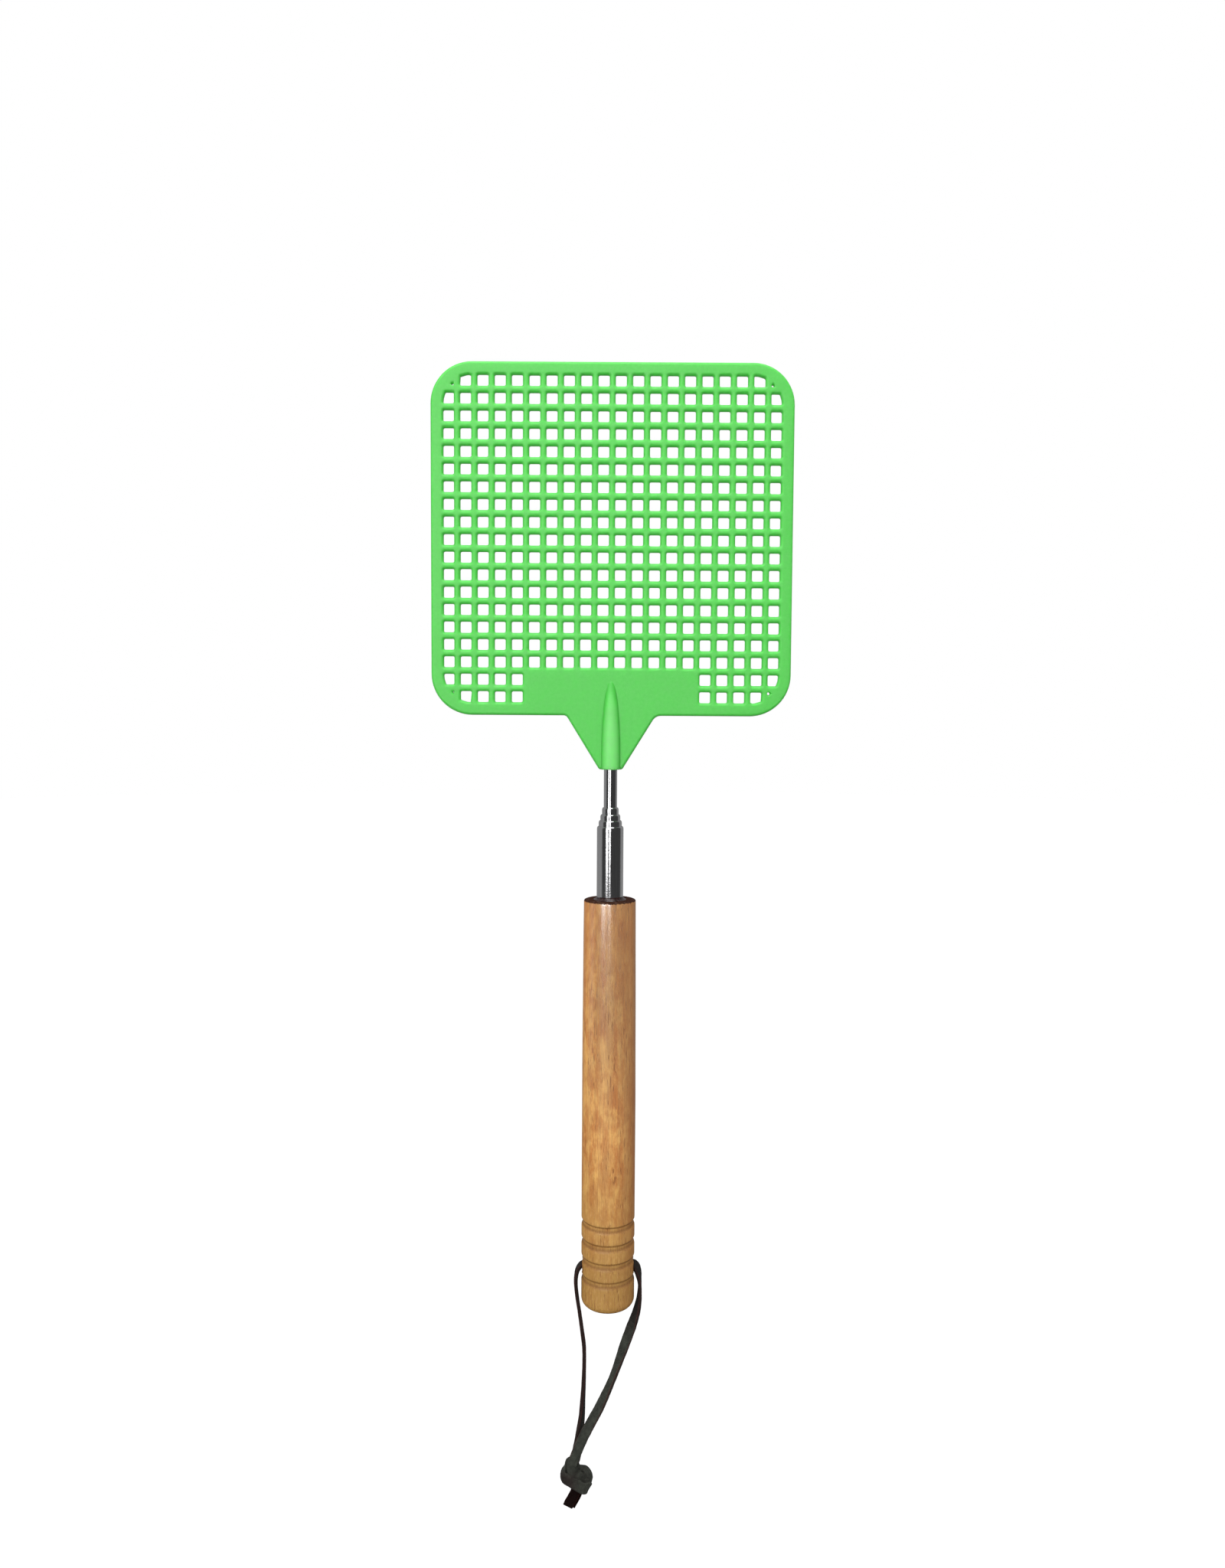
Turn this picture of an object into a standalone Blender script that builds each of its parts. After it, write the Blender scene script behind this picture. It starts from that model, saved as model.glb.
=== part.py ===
"""Telescopic fly swatter: moulded flap, five-tube steel rod, turned wooden handle and leather lanyard.

Metres. +Z runs from the butt of the handle up to the flap, and the flap's face looks along -Y.
The origin is on the handle's axis, half way along the handle, where a hand holds it.
The rod is shown pushed in, with the lanyard hanging straight down.
"""

import math

import bmesh
import bpy
from mathutils import Matrix, Vector

# Handle, turned wood
HANDLE_LENGTH = 0.1255
HANDLE_RADIUS = 0.00815
HANDLE_NECK_RADIUS = 0.0078
HANDLE_TOP_EDGE = 0.0004
BUTT_ROUND = 0.0025
GROOVE_COUNT = 4
GROOVE_PITCH = 0.0057
FIRST_GROOVE_Z = -0.0363
GROOVE_WIDTH = 0.0018
GROOVE_DEPTH = 0.0004
LANYARD_HOLE_Z = -0.0504
LANYARD_HOLE_RADIUS = 0.0021

# Telescopic rod, largest tube first
TUBE_NAMES = ("outer_tube", "second_tube", "middle_tube", "fourth_tube", "tip_tube")
TUBE_DIAMETERS = (0.008, 0.007, 0.006, 0.005, 0.004)
TUBE_WALL = 0.00025
OUTER_TUBE_PROUD = 0.0221
STEP_HEIGHTS = (0.00175, 0.0018, 0.0021)
SWAGE_LENGTH = 0.0014
SWAGE_CLEARANCE = 0.00006
OUTER_TUBE_BOTTOM_Z = -0.0435
TUBE_SEGMENTS = 32

# Friction shims between one tube and the next, and the beads that hold them
SHIM_LENGTH = 0.006
SHIM_THICKNESS = 0.00016
SHIM_CLEARANCE = 0.00004
SHIM_END_GAP = 0.00015
BEAD_HEIGHT = 0.0006
BEAD_RISE = 0.00017
PLUG_HEIGHT = 0.004
PLUG_CLEARANCE = 0.00005
TUBE_END_GAP = 0.0003

# Glue round the foot of the rod
GLUE_RADIUS = 0.0049
GLUE_HEIGHT = 0.0009
GLUE_GAP = 0.0001
BORE_CLEARANCE = 0.0001

# Flap, one moulding
FLAP_WIDTH = 0.107
FLAP_BOTTOM_Z = 0.1181
FLAP_TOP_Z = 0.2214
FLAP_CORNER_RADIUS = 0.0122
FLAP_THICKNESS = 0.0022
RIM_WIDTH = 0.00375
RIM_INNER_RADIUS = 0.0085
HOLE_COLUMNS = 20
HOLE_ROWS = 19
COLUMN_PITCH = 0.00508
ROW_PITCH = 0.00514
HOLE_SIZE = 0.0032
TOP_ROW_Z = 0.2159
SOLID_COLUMNS = range(5, 15)
SOLID_ROWS = range(17, 19)
NECK_BOTTOM_Z = 0.1019
NECK_HALF_WIDTH = 0.00345
NECK_TOP_HALF_WIDTH = 0.01335
NECK_FILLETS = {-1: 0.0014, 1: 0.0028}
ARC_STEPS = 6

# Socket for the rod, moulded on the flap's neck
SOCKET_RADIUS = 0.0031
SOCKET_TIP_Z = 0.1296
SOCKET_TAPER = 2.6
SOCKET_BORE_DEPTH = 0.0176

# Lanyard, one flat leather thong drawn as a round one of equal section
THONG_RADIUS = 0.0011
THONG_STEP = 0.0048
TAIL_GAP = 0.0007
KNOT_CENTRE = Vector((-0.0093, 0.0, -0.1185))
KNOT_HEIGHT = 0.0108
KNOT_RADIUS = 0.0050
KNOT_DEPTH_RATIO = 0.8
KNOT_END_ANGLE = 1.05
KNOT_SEGMENTS = 20
STRAND_DEPTH = 0.0013
TAIL_TOP_X = -0.0096
TAIL_END_X = -0.0116
TAIL_DROPS = {"left": 0.0044, "right": 0.0035}
RIGHT_ROUTE = [
    (0.00015, 0.0, -0.0504),
    (0.004, 0.0, -0.0503),
    (0.0069, 0.0, -0.05015),
    (0.008, 0.0, -0.0503),
    (0.0087, 0.0, -0.0511),
    (0.00925, 0.0, -0.0524),
    (0.0096, 0.0, -0.0539),
    (0.00982, 0.0, -0.0556),
    (0.0099, 0.0, -0.0575),
    (0.00986, 0.0, -0.0592),
    (0.00965, -0.0001, -0.06175),
    (0.00907, -0.0002, -0.06469),
    (0.00823, -0.0003, -0.06753),
    (0.00671, -0.0005, -0.07182),
    (0.00518, -0.0007, -0.07609),
    (0.0037, -0.0009, -0.08036),
    (0.0022, -0.0011, -0.08463),
    (0.00049, -0.0012, -0.08895),
    (-0.00143, -0.0013, -0.09327),
    (-0.00283, -0.0013, -0.09626),
    (-0.00436, -0.0013, -0.09915),
    (-0.0064, -0.0013, -0.10313),
    (-0.0071, -0.0013, -0.10454),
    (-0.00771, -0.0013, -0.10595),
    (-0.00838, -0.0013, -0.10754),
    (-0.00895, -0.0013, -0.10895),
    (-0.00945, -0.0013, -0.11018),
    (-0.00979, -0.0013, -0.11133),
]
LEFT_ROUTE = [
    (-0.00015, 0.0, -0.0504),
    (-0.004, 0.0, -0.0503),
    (-0.0069, 0.0, -0.05025),
    (-0.008, 0.0, -0.0505),
    (-0.00865, 0.0, -0.0511),
    (-0.0092, 0.0, -0.052),
    (-0.00955, 0.0, -0.0531),
    (-0.00976, 0.0, -0.0546),
    (-0.00983, 0.0, -0.056),
    (-0.00972, 0.0, -0.058),
    (-0.00927, 0.0001, -0.06185),
    (-0.00879, 0.0002, -0.06491),
    (-0.00837, 0.0003, -0.06787),
    (-0.00777, 0.0005, -0.07238),
    (-0.00723, 0.0007, -0.07691),
    (-0.00713, 0.0009, -0.08144),
    (-0.00722, 0.0011, -0.08597),
    (-0.00736, 0.0013, -0.09051),
    (-0.00759, 0.0013, -0.09493),
    (-0.00782, 0.0013, -0.09934),
    (-0.00842, 0.0013, -0.10488),
    (-0.00853, 0.0013, -0.10629),
    (-0.00866, 0.0013, -0.1078),
    (-0.00889, 0.0013, -0.1093),
    (-0.00913, 0.0013, -0.11072),
    (-0.00943, 0.0013, -0.11188),
]

COLORS = {
    "flap": ((0.14, 0.66, 0.13), 0.45, 0.0),
    "steel": ((0.55, 0.55, 0.56), 0.25, 1.0),
    "brass": ((0.72, 0.52, 0.22), 0.35, 1.0),
    "wood": ((0.52, 0.27, 0.10), 0.4, 0.0),
    "glue": ((0.10, 0.05, 0.03), 0.3, 0.0),
    "leather": ((0.020, 0.018, 0.014), 0.75, 0.0),
}

HANDLE_TOP_Z = HANDLE_LENGTH / 2
HANDLE_BUTT_Z = -HANDLE_LENGTH / 2
OUTER_TUBE_TOP_Z = HANDLE_TOP_Z + OUTER_TUBE_PROUD
INNER_TUBE_BOTTOM_Z = OUTER_TUBE_BOTTOM_Z + PLUG_HEIGHT + TUBE_END_GAP


# Helpers


def clear_scene():
    for obj in list(bpy.data.objects):
        bpy.data.objects.remove(obj)


def make_material(name, look):
    color, roughness, metallic = COLORS[look]
    material = bpy.data.materials.new(name)
    material.use_nodes = True
    shader = material.node_tree.nodes["Principled BSDF"]
    shader.inputs["Base Color"].default_value = (*color, 1.0)
    shader.inputs["Roughness"].default_value = roughness
    shader.inputs["Metallic"].default_value = metallic
    material.diffuse_color = (*color, 1.0)
    return material


def add_object(name, data, look):
    obj = bpy.data.objects.new(name, data)
    bpy.context.scene.collection.objects.link(obj)
    if look:
        data.materials.append(make_material(name, look))
    return obj


def add_mesh(name, bm, look):
    """Turns a bmesh into an object, with smooth faces and sharp edges where it bends hard."""
    bmesh.ops.recalc_face_normals(bm, faces=bm.faces)
    mesh = bpy.data.meshes.new(name)
    bm.to_mesh(mesh)
    bm.free()
    mesh.shade_smooth()
    mesh.set_sharp_from_angle(angle=math.radians(35))
    return add_object(name, mesh, look)


def arc(centre, radius, start, end, steps):
    """Points on an arc from the start angle to the end angle, in degrees, both ends included."""
    points = []
    for i in range(steps + 1):
        angle = math.radians(start + (end - start) * i / steps)
        points.append((centre[0] + radius * math.cos(angle), centre[1] + radius * math.sin(angle)))
    return points


def lathe(name, profile, look, segments=TUBE_SEGMENTS, turn=math.tau, closed=True):
    """Spins a profile of (radius, height) points about Z. A closed profile makes a ring."""
    bm = bmesh.new()
    verts = [bm.verts.new((radius, 0.0, height)) for radius, height in profile]
    pairs = list(zip(verts, verts[1:]))
    if closed:
        pairs.append((verts[-1], verts[0]))
    edges = [bm.edges.new(pair) for pair in pairs]
    whole = turn == math.tau
    first = bm.faces.new(verts) if not whole else None
    spun = bmesh.ops.spin(
        bm,
        geom=verts + edges,
        cent=(0, 0, 0),
        axis=(0, 0, 1),
        angle=turn,
        steps=segments,
        use_merge=whole,
    )
    if first:
        last = [item for item in spun["geom_last"] if isinstance(item, bmesh.types.BMVert)]
        bmesh.ops.contextual_create(bm, geom=last)
    bmesh.ops.remove_doubles(bm, verts=bm.verts, dist=1e-7)
    return add_mesh(name, bm, look)


def combine(obj, guide, operation, solver="EXACT"):
    """Adds a guide's shape to obj, or takes it away. The guide itself isn't a part."""
    guide.hide_render = True
    guide.display_type = "WIRE"
    modifier = obj.modifiers.new(guide.name, "BOOLEAN")
    modifier.operation = operation
    modifier.solver = solver
    modifier.object = guide


def smooth_path(route, step):
    """Reads points about one step apart from a smooth curve through the route's points."""
    route = [Vector(point) for point in route]
    padded = [2 * route[0] - route[1], *route, 2 * route[-1] - route[-2]]
    fine = []
    for before, start, end, after in zip(padded, padded[1:], padded[2:], padded[3:]):
        for i in range(12):
            t = i / 12
            fine.append(
                0.5
                * (
                    2 * start
                    + (end - before) * t
                    + (2 * before - 5 * start + 4 * end - after) * t**2
                    + (3 * start - before - 3 * end + after) * t**3
                )
            )
    fine.append(route[-1])
    lengths = [0.0]
    for a, b in zip(fine, fine[1:]):
        lengths.append(lengths[-1] + (b - a).length)
    count = max(2, round(lengths[-1] / step))
    points = []
    j = 0
    for i in range(count + 1):
        target = lengths[-1] * i / count
        while j < len(fine) - 2 and lengths[j + 1] < target:
            j += 1
        share = (target - lengths[j]) / (lengths[j + 1] - lengths[j])
        points.append(fine[j].lerp(fine[j + 1], min(1.0, share)))
    return points


def thong(name, points):
    """A plain round tube along the points, closed at both ends."""
    curve = bpy.data.curves.new(name, "CURVE")
    curve.dimensions = "3D"
    curve.bevel_depth = THONG_RADIUS
    curve.bevel_resolution = 2
    curve.use_fill_caps = True
    spline = curve.splines.new("POLY")
    spline.points.add(len(points) - 1)
    for target, point in zip(spline.points, points):
        target.co = (*point, 1.0)
    return add_object(name, curve, "leather")


# Handle


def groove_profile(centre_z):
    """The four corners of one turned groove, from its lower lip to its upper one."""
    half = GROOVE_WIDTH / 2
    floor = HANDLE_RADIUS - GROOVE_DEPTH
    return [
        (HANDLE_RADIUS, centre_z - half),
        (floor, centre_z - half / 3),
        (floor, centre_z + half / 3),
        (HANDLE_RADIUS, centre_z + half),
    ]


def build_handle():
    butt_centre = (HANDLE_RADIUS - BUTT_ROUND, HANDLE_BUTT_Z + BUTT_ROUND)
    profile = [(0.0, HANDLE_BUTT_Z)]
    profile += arc(butt_centre, BUTT_ROUND, -90, 0, ARC_STEPS)
    for i in reversed(range(GROOVE_COUNT)):
        profile += groove_profile(FIRST_GROOVE_Z - i * GROOVE_PITCH)
    bore_radius = TUBE_DIAMETERS[0] / 2 + BORE_CLEARANCE
    bore_bottom_z = OUTER_TUBE_BOTTOM_Z - TUBE_END_GAP
    profile += [
        (HANDLE_RADIUS, 0.0),
        (HANDLE_NECK_RADIUS, HANDLE_TOP_Z - HANDLE_TOP_EDGE),
        (HANDLE_NECK_RADIUS - HANDLE_TOP_EDGE, HANDLE_TOP_Z),
        (bore_radius, HANDLE_TOP_Z),
        (bore_radius, bore_bottom_z),
        (0.0, bore_bottom_z),
    ]
    handle = lathe("handle", profile, "wood", closed=False)
    bm = bmesh.new()
    bmesh.ops.create_cone(
        bm,
        cap_ends=True,
        segments=16,
        radius1=LANYARD_HOLE_RADIUS,
        radius2=LANYARD_HOLE_RADIUS,
        depth=HANDLE_RADIUS * 3,
        matrix=Matrix.Translation((0, 0, LANYARD_HOLE_Z)) @ Matrix.Rotation(math.pi / 2, 4, "Y"),
    )
    combine(handle, add_mesh("lanyard_hole_form", bm, None), "DIFFERENCE")


def build_glue_bead():
    """A concave ring of glue between the handle's top face and the foot of the rod."""
    inner = TUBE_DIAMETERS[0] / 2 + GLUE_GAP
    foot_z = HANDLE_TOP_Z + GLUE_GAP
    width = GLUE_RADIUS - inner
    lip = 0.2
    profile = [(inner, foot_z), (GLUE_RADIUS, foot_z)]
    for i in range(ARC_STEPS + 1):
        share = i / ARC_STEPS
        rise = lip + (1 - lip) * share**2
        profile.append((GLUE_RADIUS - width * 0.8 * share, foot_z + GLUE_HEIGHT * rise))
    profile.append((inner, foot_z + GLUE_HEIGHT))
    lathe("glue_bead", profile, "glue")


# Rod


def tube_top_z(index):
    """Height of a tube's swaged mouth. Each tube stands a little prouder than the one round it."""
    return OUTER_TUBE_TOP_Z + sum(STEP_HEIGHTS[:index])


def foot_profile(outside):
    """The two beads at a sliding tube's foot, with the shims' seat between them."""
    bead = outside + BEAD_RISE
    seat_z = INNER_TUBE_BOTTOM_Z + BEAD_HEIGHT
    seat_top_z = seat_z + SHIM_LENGTH + 2 * SHIM_END_GAP
    bead_top_z = seat_top_z + BEAD_HEIGHT
    return [
        (bead, INNER_TUBE_BOTTOM_Z),
        (bead, seat_z),
        (outside, seat_z),
        (outside, seat_top_z),
        (bead, seat_top_z),
        (bead, bead_top_z),
        (outside, bead_top_z),
    ]


def mouth_profile(outside, top_z, guided):
    """The mouth of a tube, drawn in round the next tube down to a running fit."""
    bore = guided + SWAGE_CLEARANCE
    lip = bore + TUBE_WALL
    drop = outside - lip
    return [
        (outside, top_z - SWAGE_LENGTH * 0.55),
        (outside - drop * 0.15, top_z - SWAGE_LENGTH * 0.3),
        (outside - drop * 0.5, top_z - SWAGE_LENGTH * 0.1),
        (lip - TUBE_WALL * 0.4, top_z),
        (bore, top_z),
        (bore, top_z - SWAGE_LENGTH * 0.6),
        (outside - TUBE_WALL, top_z - SWAGE_LENGTH),
    ]


def build_tube(index):
    name = TUBE_NAMES[index]
    outside = TUBE_DIAMETERS[index] / 2
    inside = outside - TUBE_WALL
    if index == 0:
        bottom_z = OUTER_TUBE_BOTTOM_Z
        profile = [(outside, bottom_z)]
    else:
        bottom_z = INNER_TUBE_BOTTOM_Z
        profile = foot_profile(outside)
    if index < len(TUBE_NAMES) - 1:
        profile += mouth_profile(outside, tube_top_z(index), TUBE_DIAMETERS[index + 1] / 2)
    else:
        tip_z = NECK_BOTTOM_Z + SOCKET_BORE_DEPTH - TUBE_END_GAP
        profile += [(outside, tip_z), (inside, tip_z)]
    profile.append((inside, bottom_z))
    return lathe(name, profile, "steel")


def build_shims(index):
    """Two half sleeves of spring brass, front and back, seated on a sliding tube's foot."""
    inner = TUBE_DIAMETERS[index] / 2 + SHIM_CLEARANCE
    outer = inner + SHIM_THICKNESS
    low_z = INNER_TUBE_BOTTOM_Z + BEAD_HEIGHT + SHIM_END_GAP
    high_z = low_z + SHIM_LENGTH
    profile = [(inner, low_z), (outer, low_z), (outer, high_z), (inner, high_z)]
    steps = TUBE_SEGMENTS // 2 - 1
    span = math.tau * steps / TUBE_SEGMENTS
    for side, angle in (("rear", 0.0), ("front", math.pi)):
        name = f"{TUBE_NAMES[index]}_{side}_shim"
        shim = lathe(name, profile, "brass", segments=steps, turn=span)
        shim.rotation_euler.z = angle


def build_plug():
    """The plug that closes the outer tube's foot, on which the sliding tubes come to rest."""
    radius = TUBE_DIAMETERS[0] / 2 - TUBE_WALL - PLUG_CLEARANCE
    top_z = OUTER_TUBE_BOTTOM_Z + PLUG_HEIGHT
    chamfer = 0.0004
    profile = [
        (0.0, OUTER_TUBE_BOTTOM_Z),
        (radius - chamfer, OUTER_TUBE_BOTTOM_Z),
        (radius, OUTER_TUBE_BOTTOM_Z + chamfer),
        (radius, top_z - chamfer),
        (radius - chamfer, top_z),
        (0.0, top_z),
    ]
    lathe("outer_tube_plug", profile, "brass", closed=False)


# Flap


def fillet(corner, before, after, radius):
    """Rounds a corner of an outline with an arc that touches both of its sides."""
    corner = Vector(corner)
    a = (Vector(before) - corner).normalized()
    b = (Vector(after) - corner).normalized()
    half = a.angle(b) / 2
    centre = corner + (a + b).normalized() * (radius / math.sin(half))
    start = corner + a * (radius / math.tan(half)) - centre
    sweep = start.angle_signed(corner + b * (radius / math.tan(half)) - centre)
    points = []
    for i in range(ARC_STEPS + 1):
        turn = -sweep * i / ARC_STEPS
        points.append(tuple(centre + Matrix.Rotation(turn, 2) @ start))
    return points


def rounded_rectangle(half_width, low_z, high_z, radius):
    """Corner arcs of an upright rectangle, anticlockwise from the lower right one."""
    x = half_width - radius
    return [
        arc((x, low_z + radius), radius, -90, 0, ARC_STEPS),
        arc((x, high_z - radius), radius, 0, 90, ARC_STEPS),
        arc((-x, high_z - radius), radius, 90, 180, ARC_STEPS),
        arc((-x, low_z + radius), radius, 180, 270, ARC_STEPS),
    ]


def flap_outline():
    """Outer edge of the moulding, anticlockwise: neck, lower right corner, round to the neck again."""
    half_width = FLAP_WIDTH / 2
    corners = rounded_rectangle(half_width, FLAP_BOTTOM_Z, FLAP_TOP_Z, FLAP_CORNER_RADIUS)
    outline = []
    foot = {side: (side * NECK_HALF_WIDTH, NECK_BOTTOM_Z) for side in (-1, 1)}
    root = {side: (side * NECK_TOP_HALF_WIDTH, FLAP_BOTTOM_Z) for side in (-1, 1)}
    edge = {side: (side * half_width, FLAP_BOTTOM_Z) for side in (-1, 1)}
    outline.append(foot[1])
    outline += fillet(root[1], foot[1], edge[1], NECK_FILLETS[1])
    for corner in corners:
        outline += corner
    outline += fillet(root[-1], edge[-1], foot[-1], NECK_FILLETS[-1])
    outline.append(foot[-1])
    return outline


def clip_to(region, polygon):
    """The part of a polygon that lies inside a convex region whose points run anticlockwise."""
    for start, end in zip(region, region[1:] + region[:1]):
        kept = []
        for a, b in zip(polygon, polygon[1:] + polygon[:1]):
            side = []
            for point in (a, b):
                along = (end[0] - start[0]) * (point[1] - start[1])
                side.append(along - (end[1] - start[1]) * (point[0] - start[0]))
            if side[0] >= 0:
                kept.append(a)
            if (side[0] >= 0) != (side[1] >= 0):
                share = side[0] / (side[0] - side[1])
                kept.append((a[0] + (b[0] - a[0]) * share, a[1] + (b[1] - a[1]) * share))
        polygon = kept
        if not polygon:
            return []
    return polygon


def flap_holes():
    """Square holes of the lattice, trimmed where the rounded inside of the rim crosses them."""
    inner = rounded_rectangle(
        FLAP_WIDTH / 2 - RIM_WIDTH,
        FLAP_BOTTOM_Z + RIM_WIDTH,
        FLAP_TOP_Z - RIM_WIDTH,
        RIM_INNER_RADIUS,
    )
    region = [point for corner in inner for point in corner]
    half = HOLE_SIZE / 2
    smallest = HOLE_SIZE**2 * 0.02
    holes = []
    for row in range(HOLE_ROWS):
        for column in range(HOLE_COLUMNS):
            if row in SOLID_ROWS and column in SOLID_COLUMNS:
                continue
            x = (column - (HOLE_COLUMNS - 1) / 2) * COLUMN_PITCH
            z = TOP_ROW_Z - row * ROW_PITCH
            square = [
                (x - half, z - half),
                (x + half, z - half),
                (x + half, z + half),
                (x - half, z + half),
            ]
            hole = clip_to(region, square)
            if area_of(hole) > smallest:
                holes.append(hole)
    return holes


def area_of(polygon):
    total = 0.0
    for a, b in zip(polygon, polygon[1:] + polygon[:1]):
        total += a[0] * b[1] - a[1] * b[0]
    return total / 2


def build_flap():
    """Flat lattice with its rim, plate and neck, joined to the socket that the rod is glued into."""
    curve = bpy.data.curves.new("flap_sheet", "CURVE")
    curve.dimensions = "2D"
    curve.fill_mode = "BOTH"
    curve.extrude = FLAP_THICKNESS / 2
    for loop in [flap_outline(), *flap_holes()]:
        spline = curve.splines.new("POLY")
        spline.use_cyclic_u = True
        spline.points.add(len(loop) - 1)
        for target, (x, z) in zip(spline.points, loop):
            target.co = (x, z, 0.0, 1.0)
    sheet = add_object("flap_sheet", curve, None)
    sheet.rotation_euler.x = math.pi / 2
    bpy.context.view_layer.update()
    solid = bpy.data.meshes.new_from_object(sheet.evaluated_get(bpy.context.evaluated_depsgraph_get()))
    bm = bmesh.new()
    bm.from_mesh(solid)
    bm.transform(sheet.matrix_world)
    bmesh.ops.remove_doubles(bm, verts=bm.verts, dist=1e-6)
    bpy.data.objects.remove(sheet)
    flap = add_mesh("swatter_flap", bm, "flap")

    profile = [(0.0, NECK_BOTTOM_Z)]
    rings = 10
    for i in range(rings + 1):
        share = math.sin(math.pi / 2 * i / rings)
        radius = SOCKET_RADIUS * math.sqrt(max(0.0, 1 - share**SOCKET_TAPER))
        profile.append((radius, NECK_BOTTOM_Z + (SOCKET_TIP_Z - NECK_BOTTOM_Z) * share))
    socket = lathe("socket_form", profile, None, segments=24, closed=False)
    combine(flap, socket, "UNION", "MANIFOLD")

    bore_radius = TUBE_DIAMETERS[-1] / 2 + BORE_CLEARANCE
    below = 0.002
    bore_top_z = NECK_BOTTOM_Z + SOCKET_BORE_DEPTH
    bore = [
        (0.0, NECK_BOTTOM_Z - below),
        (bore_radius, NECK_BOTTOM_Z - below),
        (bore_radius, bore_top_z),
        (0.0, bore_top_z),
    ]
    combine(flap, lathe("socket_bore_form", bore, None, closed=False), "DIFFERENCE", "MANIFOLD")


# Lanyard


def build_lanyard():
    """One thong through the handle's cross hole, its two strands tied together below the butt."""
    thong("lanyard_left_strand", smooth_path(LEFT_ROUTE, THONG_STEP))
    thong("lanyard_right_strand", smooth_path(RIGHT_ROUTE, THONG_STEP))
    half = KNOT_HEIGHT / 2
    profile = [(0.0, -half)]
    for i in range(ARC_STEPS * 2 + 1):
        angle = KNOT_END_ANGLE * (i / ARC_STEPS - 1)
        profile.append((KNOT_RADIUS * math.cos(angle), half * math.sin(angle) / math.sin(KNOT_END_ANGLE)))
    profile.append((0.0, half))
    knot = lathe("lanyard_knot", profile, "leather", segments=KNOT_SEGMENTS, closed=False)
    knot.data.transform(Matrix.Diagonal((1.0, KNOT_DEPTH_RATIO, 1.0, 1.0)))
    knot.location = KNOT_CENTRE
    tail_top = KNOT_CENTRE.z - half - TAIL_GAP
    for name, depth in (("left", STRAND_DEPTH), ("right", -STRAND_DEPTH)):
        start = Vector((TAIL_TOP_X, depth, tail_top))
        end = Vector((TAIL_END_X, depth, tail_top - TAIL_DROPS[name]))
        thong(f"lanyard_{name}_tail", [start, (start + end) / 2, end])


def main():
    clear_scene()
    build_handle()
    build_glue_bead()
    build_plug()
    for index in range(len(TUBE_NAMES)):
        build_tube(index)
        if index:
            build_shims(index)
    build_flap()
    build_lanyard()


main()
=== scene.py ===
import math
import random

import bmesh
import bpy
import numpy as np
from mathutils import Matrix, Vector, noise
from mathutils.geometry import delaunay_2d_cdt


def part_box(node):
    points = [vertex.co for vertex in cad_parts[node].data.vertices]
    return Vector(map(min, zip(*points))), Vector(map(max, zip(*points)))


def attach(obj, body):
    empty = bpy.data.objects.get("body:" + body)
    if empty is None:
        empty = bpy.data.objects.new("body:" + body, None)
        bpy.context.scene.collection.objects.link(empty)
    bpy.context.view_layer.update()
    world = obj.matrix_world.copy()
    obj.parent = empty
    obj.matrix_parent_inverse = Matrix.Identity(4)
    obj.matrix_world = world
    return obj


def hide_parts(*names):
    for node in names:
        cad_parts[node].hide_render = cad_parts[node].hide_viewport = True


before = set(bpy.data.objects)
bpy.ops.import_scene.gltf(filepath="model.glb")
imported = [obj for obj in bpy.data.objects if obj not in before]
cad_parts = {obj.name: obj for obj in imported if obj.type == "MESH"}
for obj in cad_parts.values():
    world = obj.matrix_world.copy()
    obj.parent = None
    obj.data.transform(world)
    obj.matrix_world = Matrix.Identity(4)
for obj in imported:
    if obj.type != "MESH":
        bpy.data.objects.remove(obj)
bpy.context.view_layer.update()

RANDOM = random.Random(7)

# Places and sizes that the frame gives
FLAP_LOW, FLAP_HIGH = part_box("swatter_flap")
HANDLE_LOW, HANDLE_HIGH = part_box("handle")
GLUE_LOW, GLUE_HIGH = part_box("glue_bead")
TUBE_NAMES = ("outer_tube", "second_tube", "middle_tube", "fourth_tube", "tip_tube")
TUBE_BODIES = ("handle", "second_section", "middle_section", "fourth_section", "tip_section")
TUBE_BOXES = [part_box(name) for name in TUBE_NAMES]

# Camera: how far in front of the object it stands, its height, tilt, roll and lens
CAMERA_X = 0.0006
CAMERA_DISTANCE = 0.3323
CAMERA_HEIGHT = 0.1172
CAMERA_TILT = 3.385
CAMERA_ROLL = 0.33
CAMERA_LENS = 25.49

# Floor, and how bright the surroundings look to matt surfaces, and to mirrors in front and behind
FLOOR_Z = -0.30
FLOOR_RADIUS = 6.0
AMBIENT_BELOW = 0.44
AMBIENT_ABOVE = 0.82
MIRROR_FRONT = 0.075
MIRROR_BACK = 0.42

# Flap: places and sizes
FLAP_BOTTOM_Z = 0.118
CORNER_RADIUS = 0.0122
SHEET_THICKNESS = 0.0022
EDGE_DEPTH = 0.00095
EDGE_WIDTH = 0.00082
EDGE_STEPS = 5
HOLE_UNEVEN = 0.00002
RIM_WIDTH = 0.00375
RIM_INNER_RADIUS = 0.0085
HOLE_COLUMNS = 20
HOLE_ROWS = 19
COLUMN_PITCH = 0.00508
ROW_PITCH = 0.00514
HOLE_SIZE = 0.0032
HOLE_CORNER = 0.00045
TOP_ROW_Z = 0.21598
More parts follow.
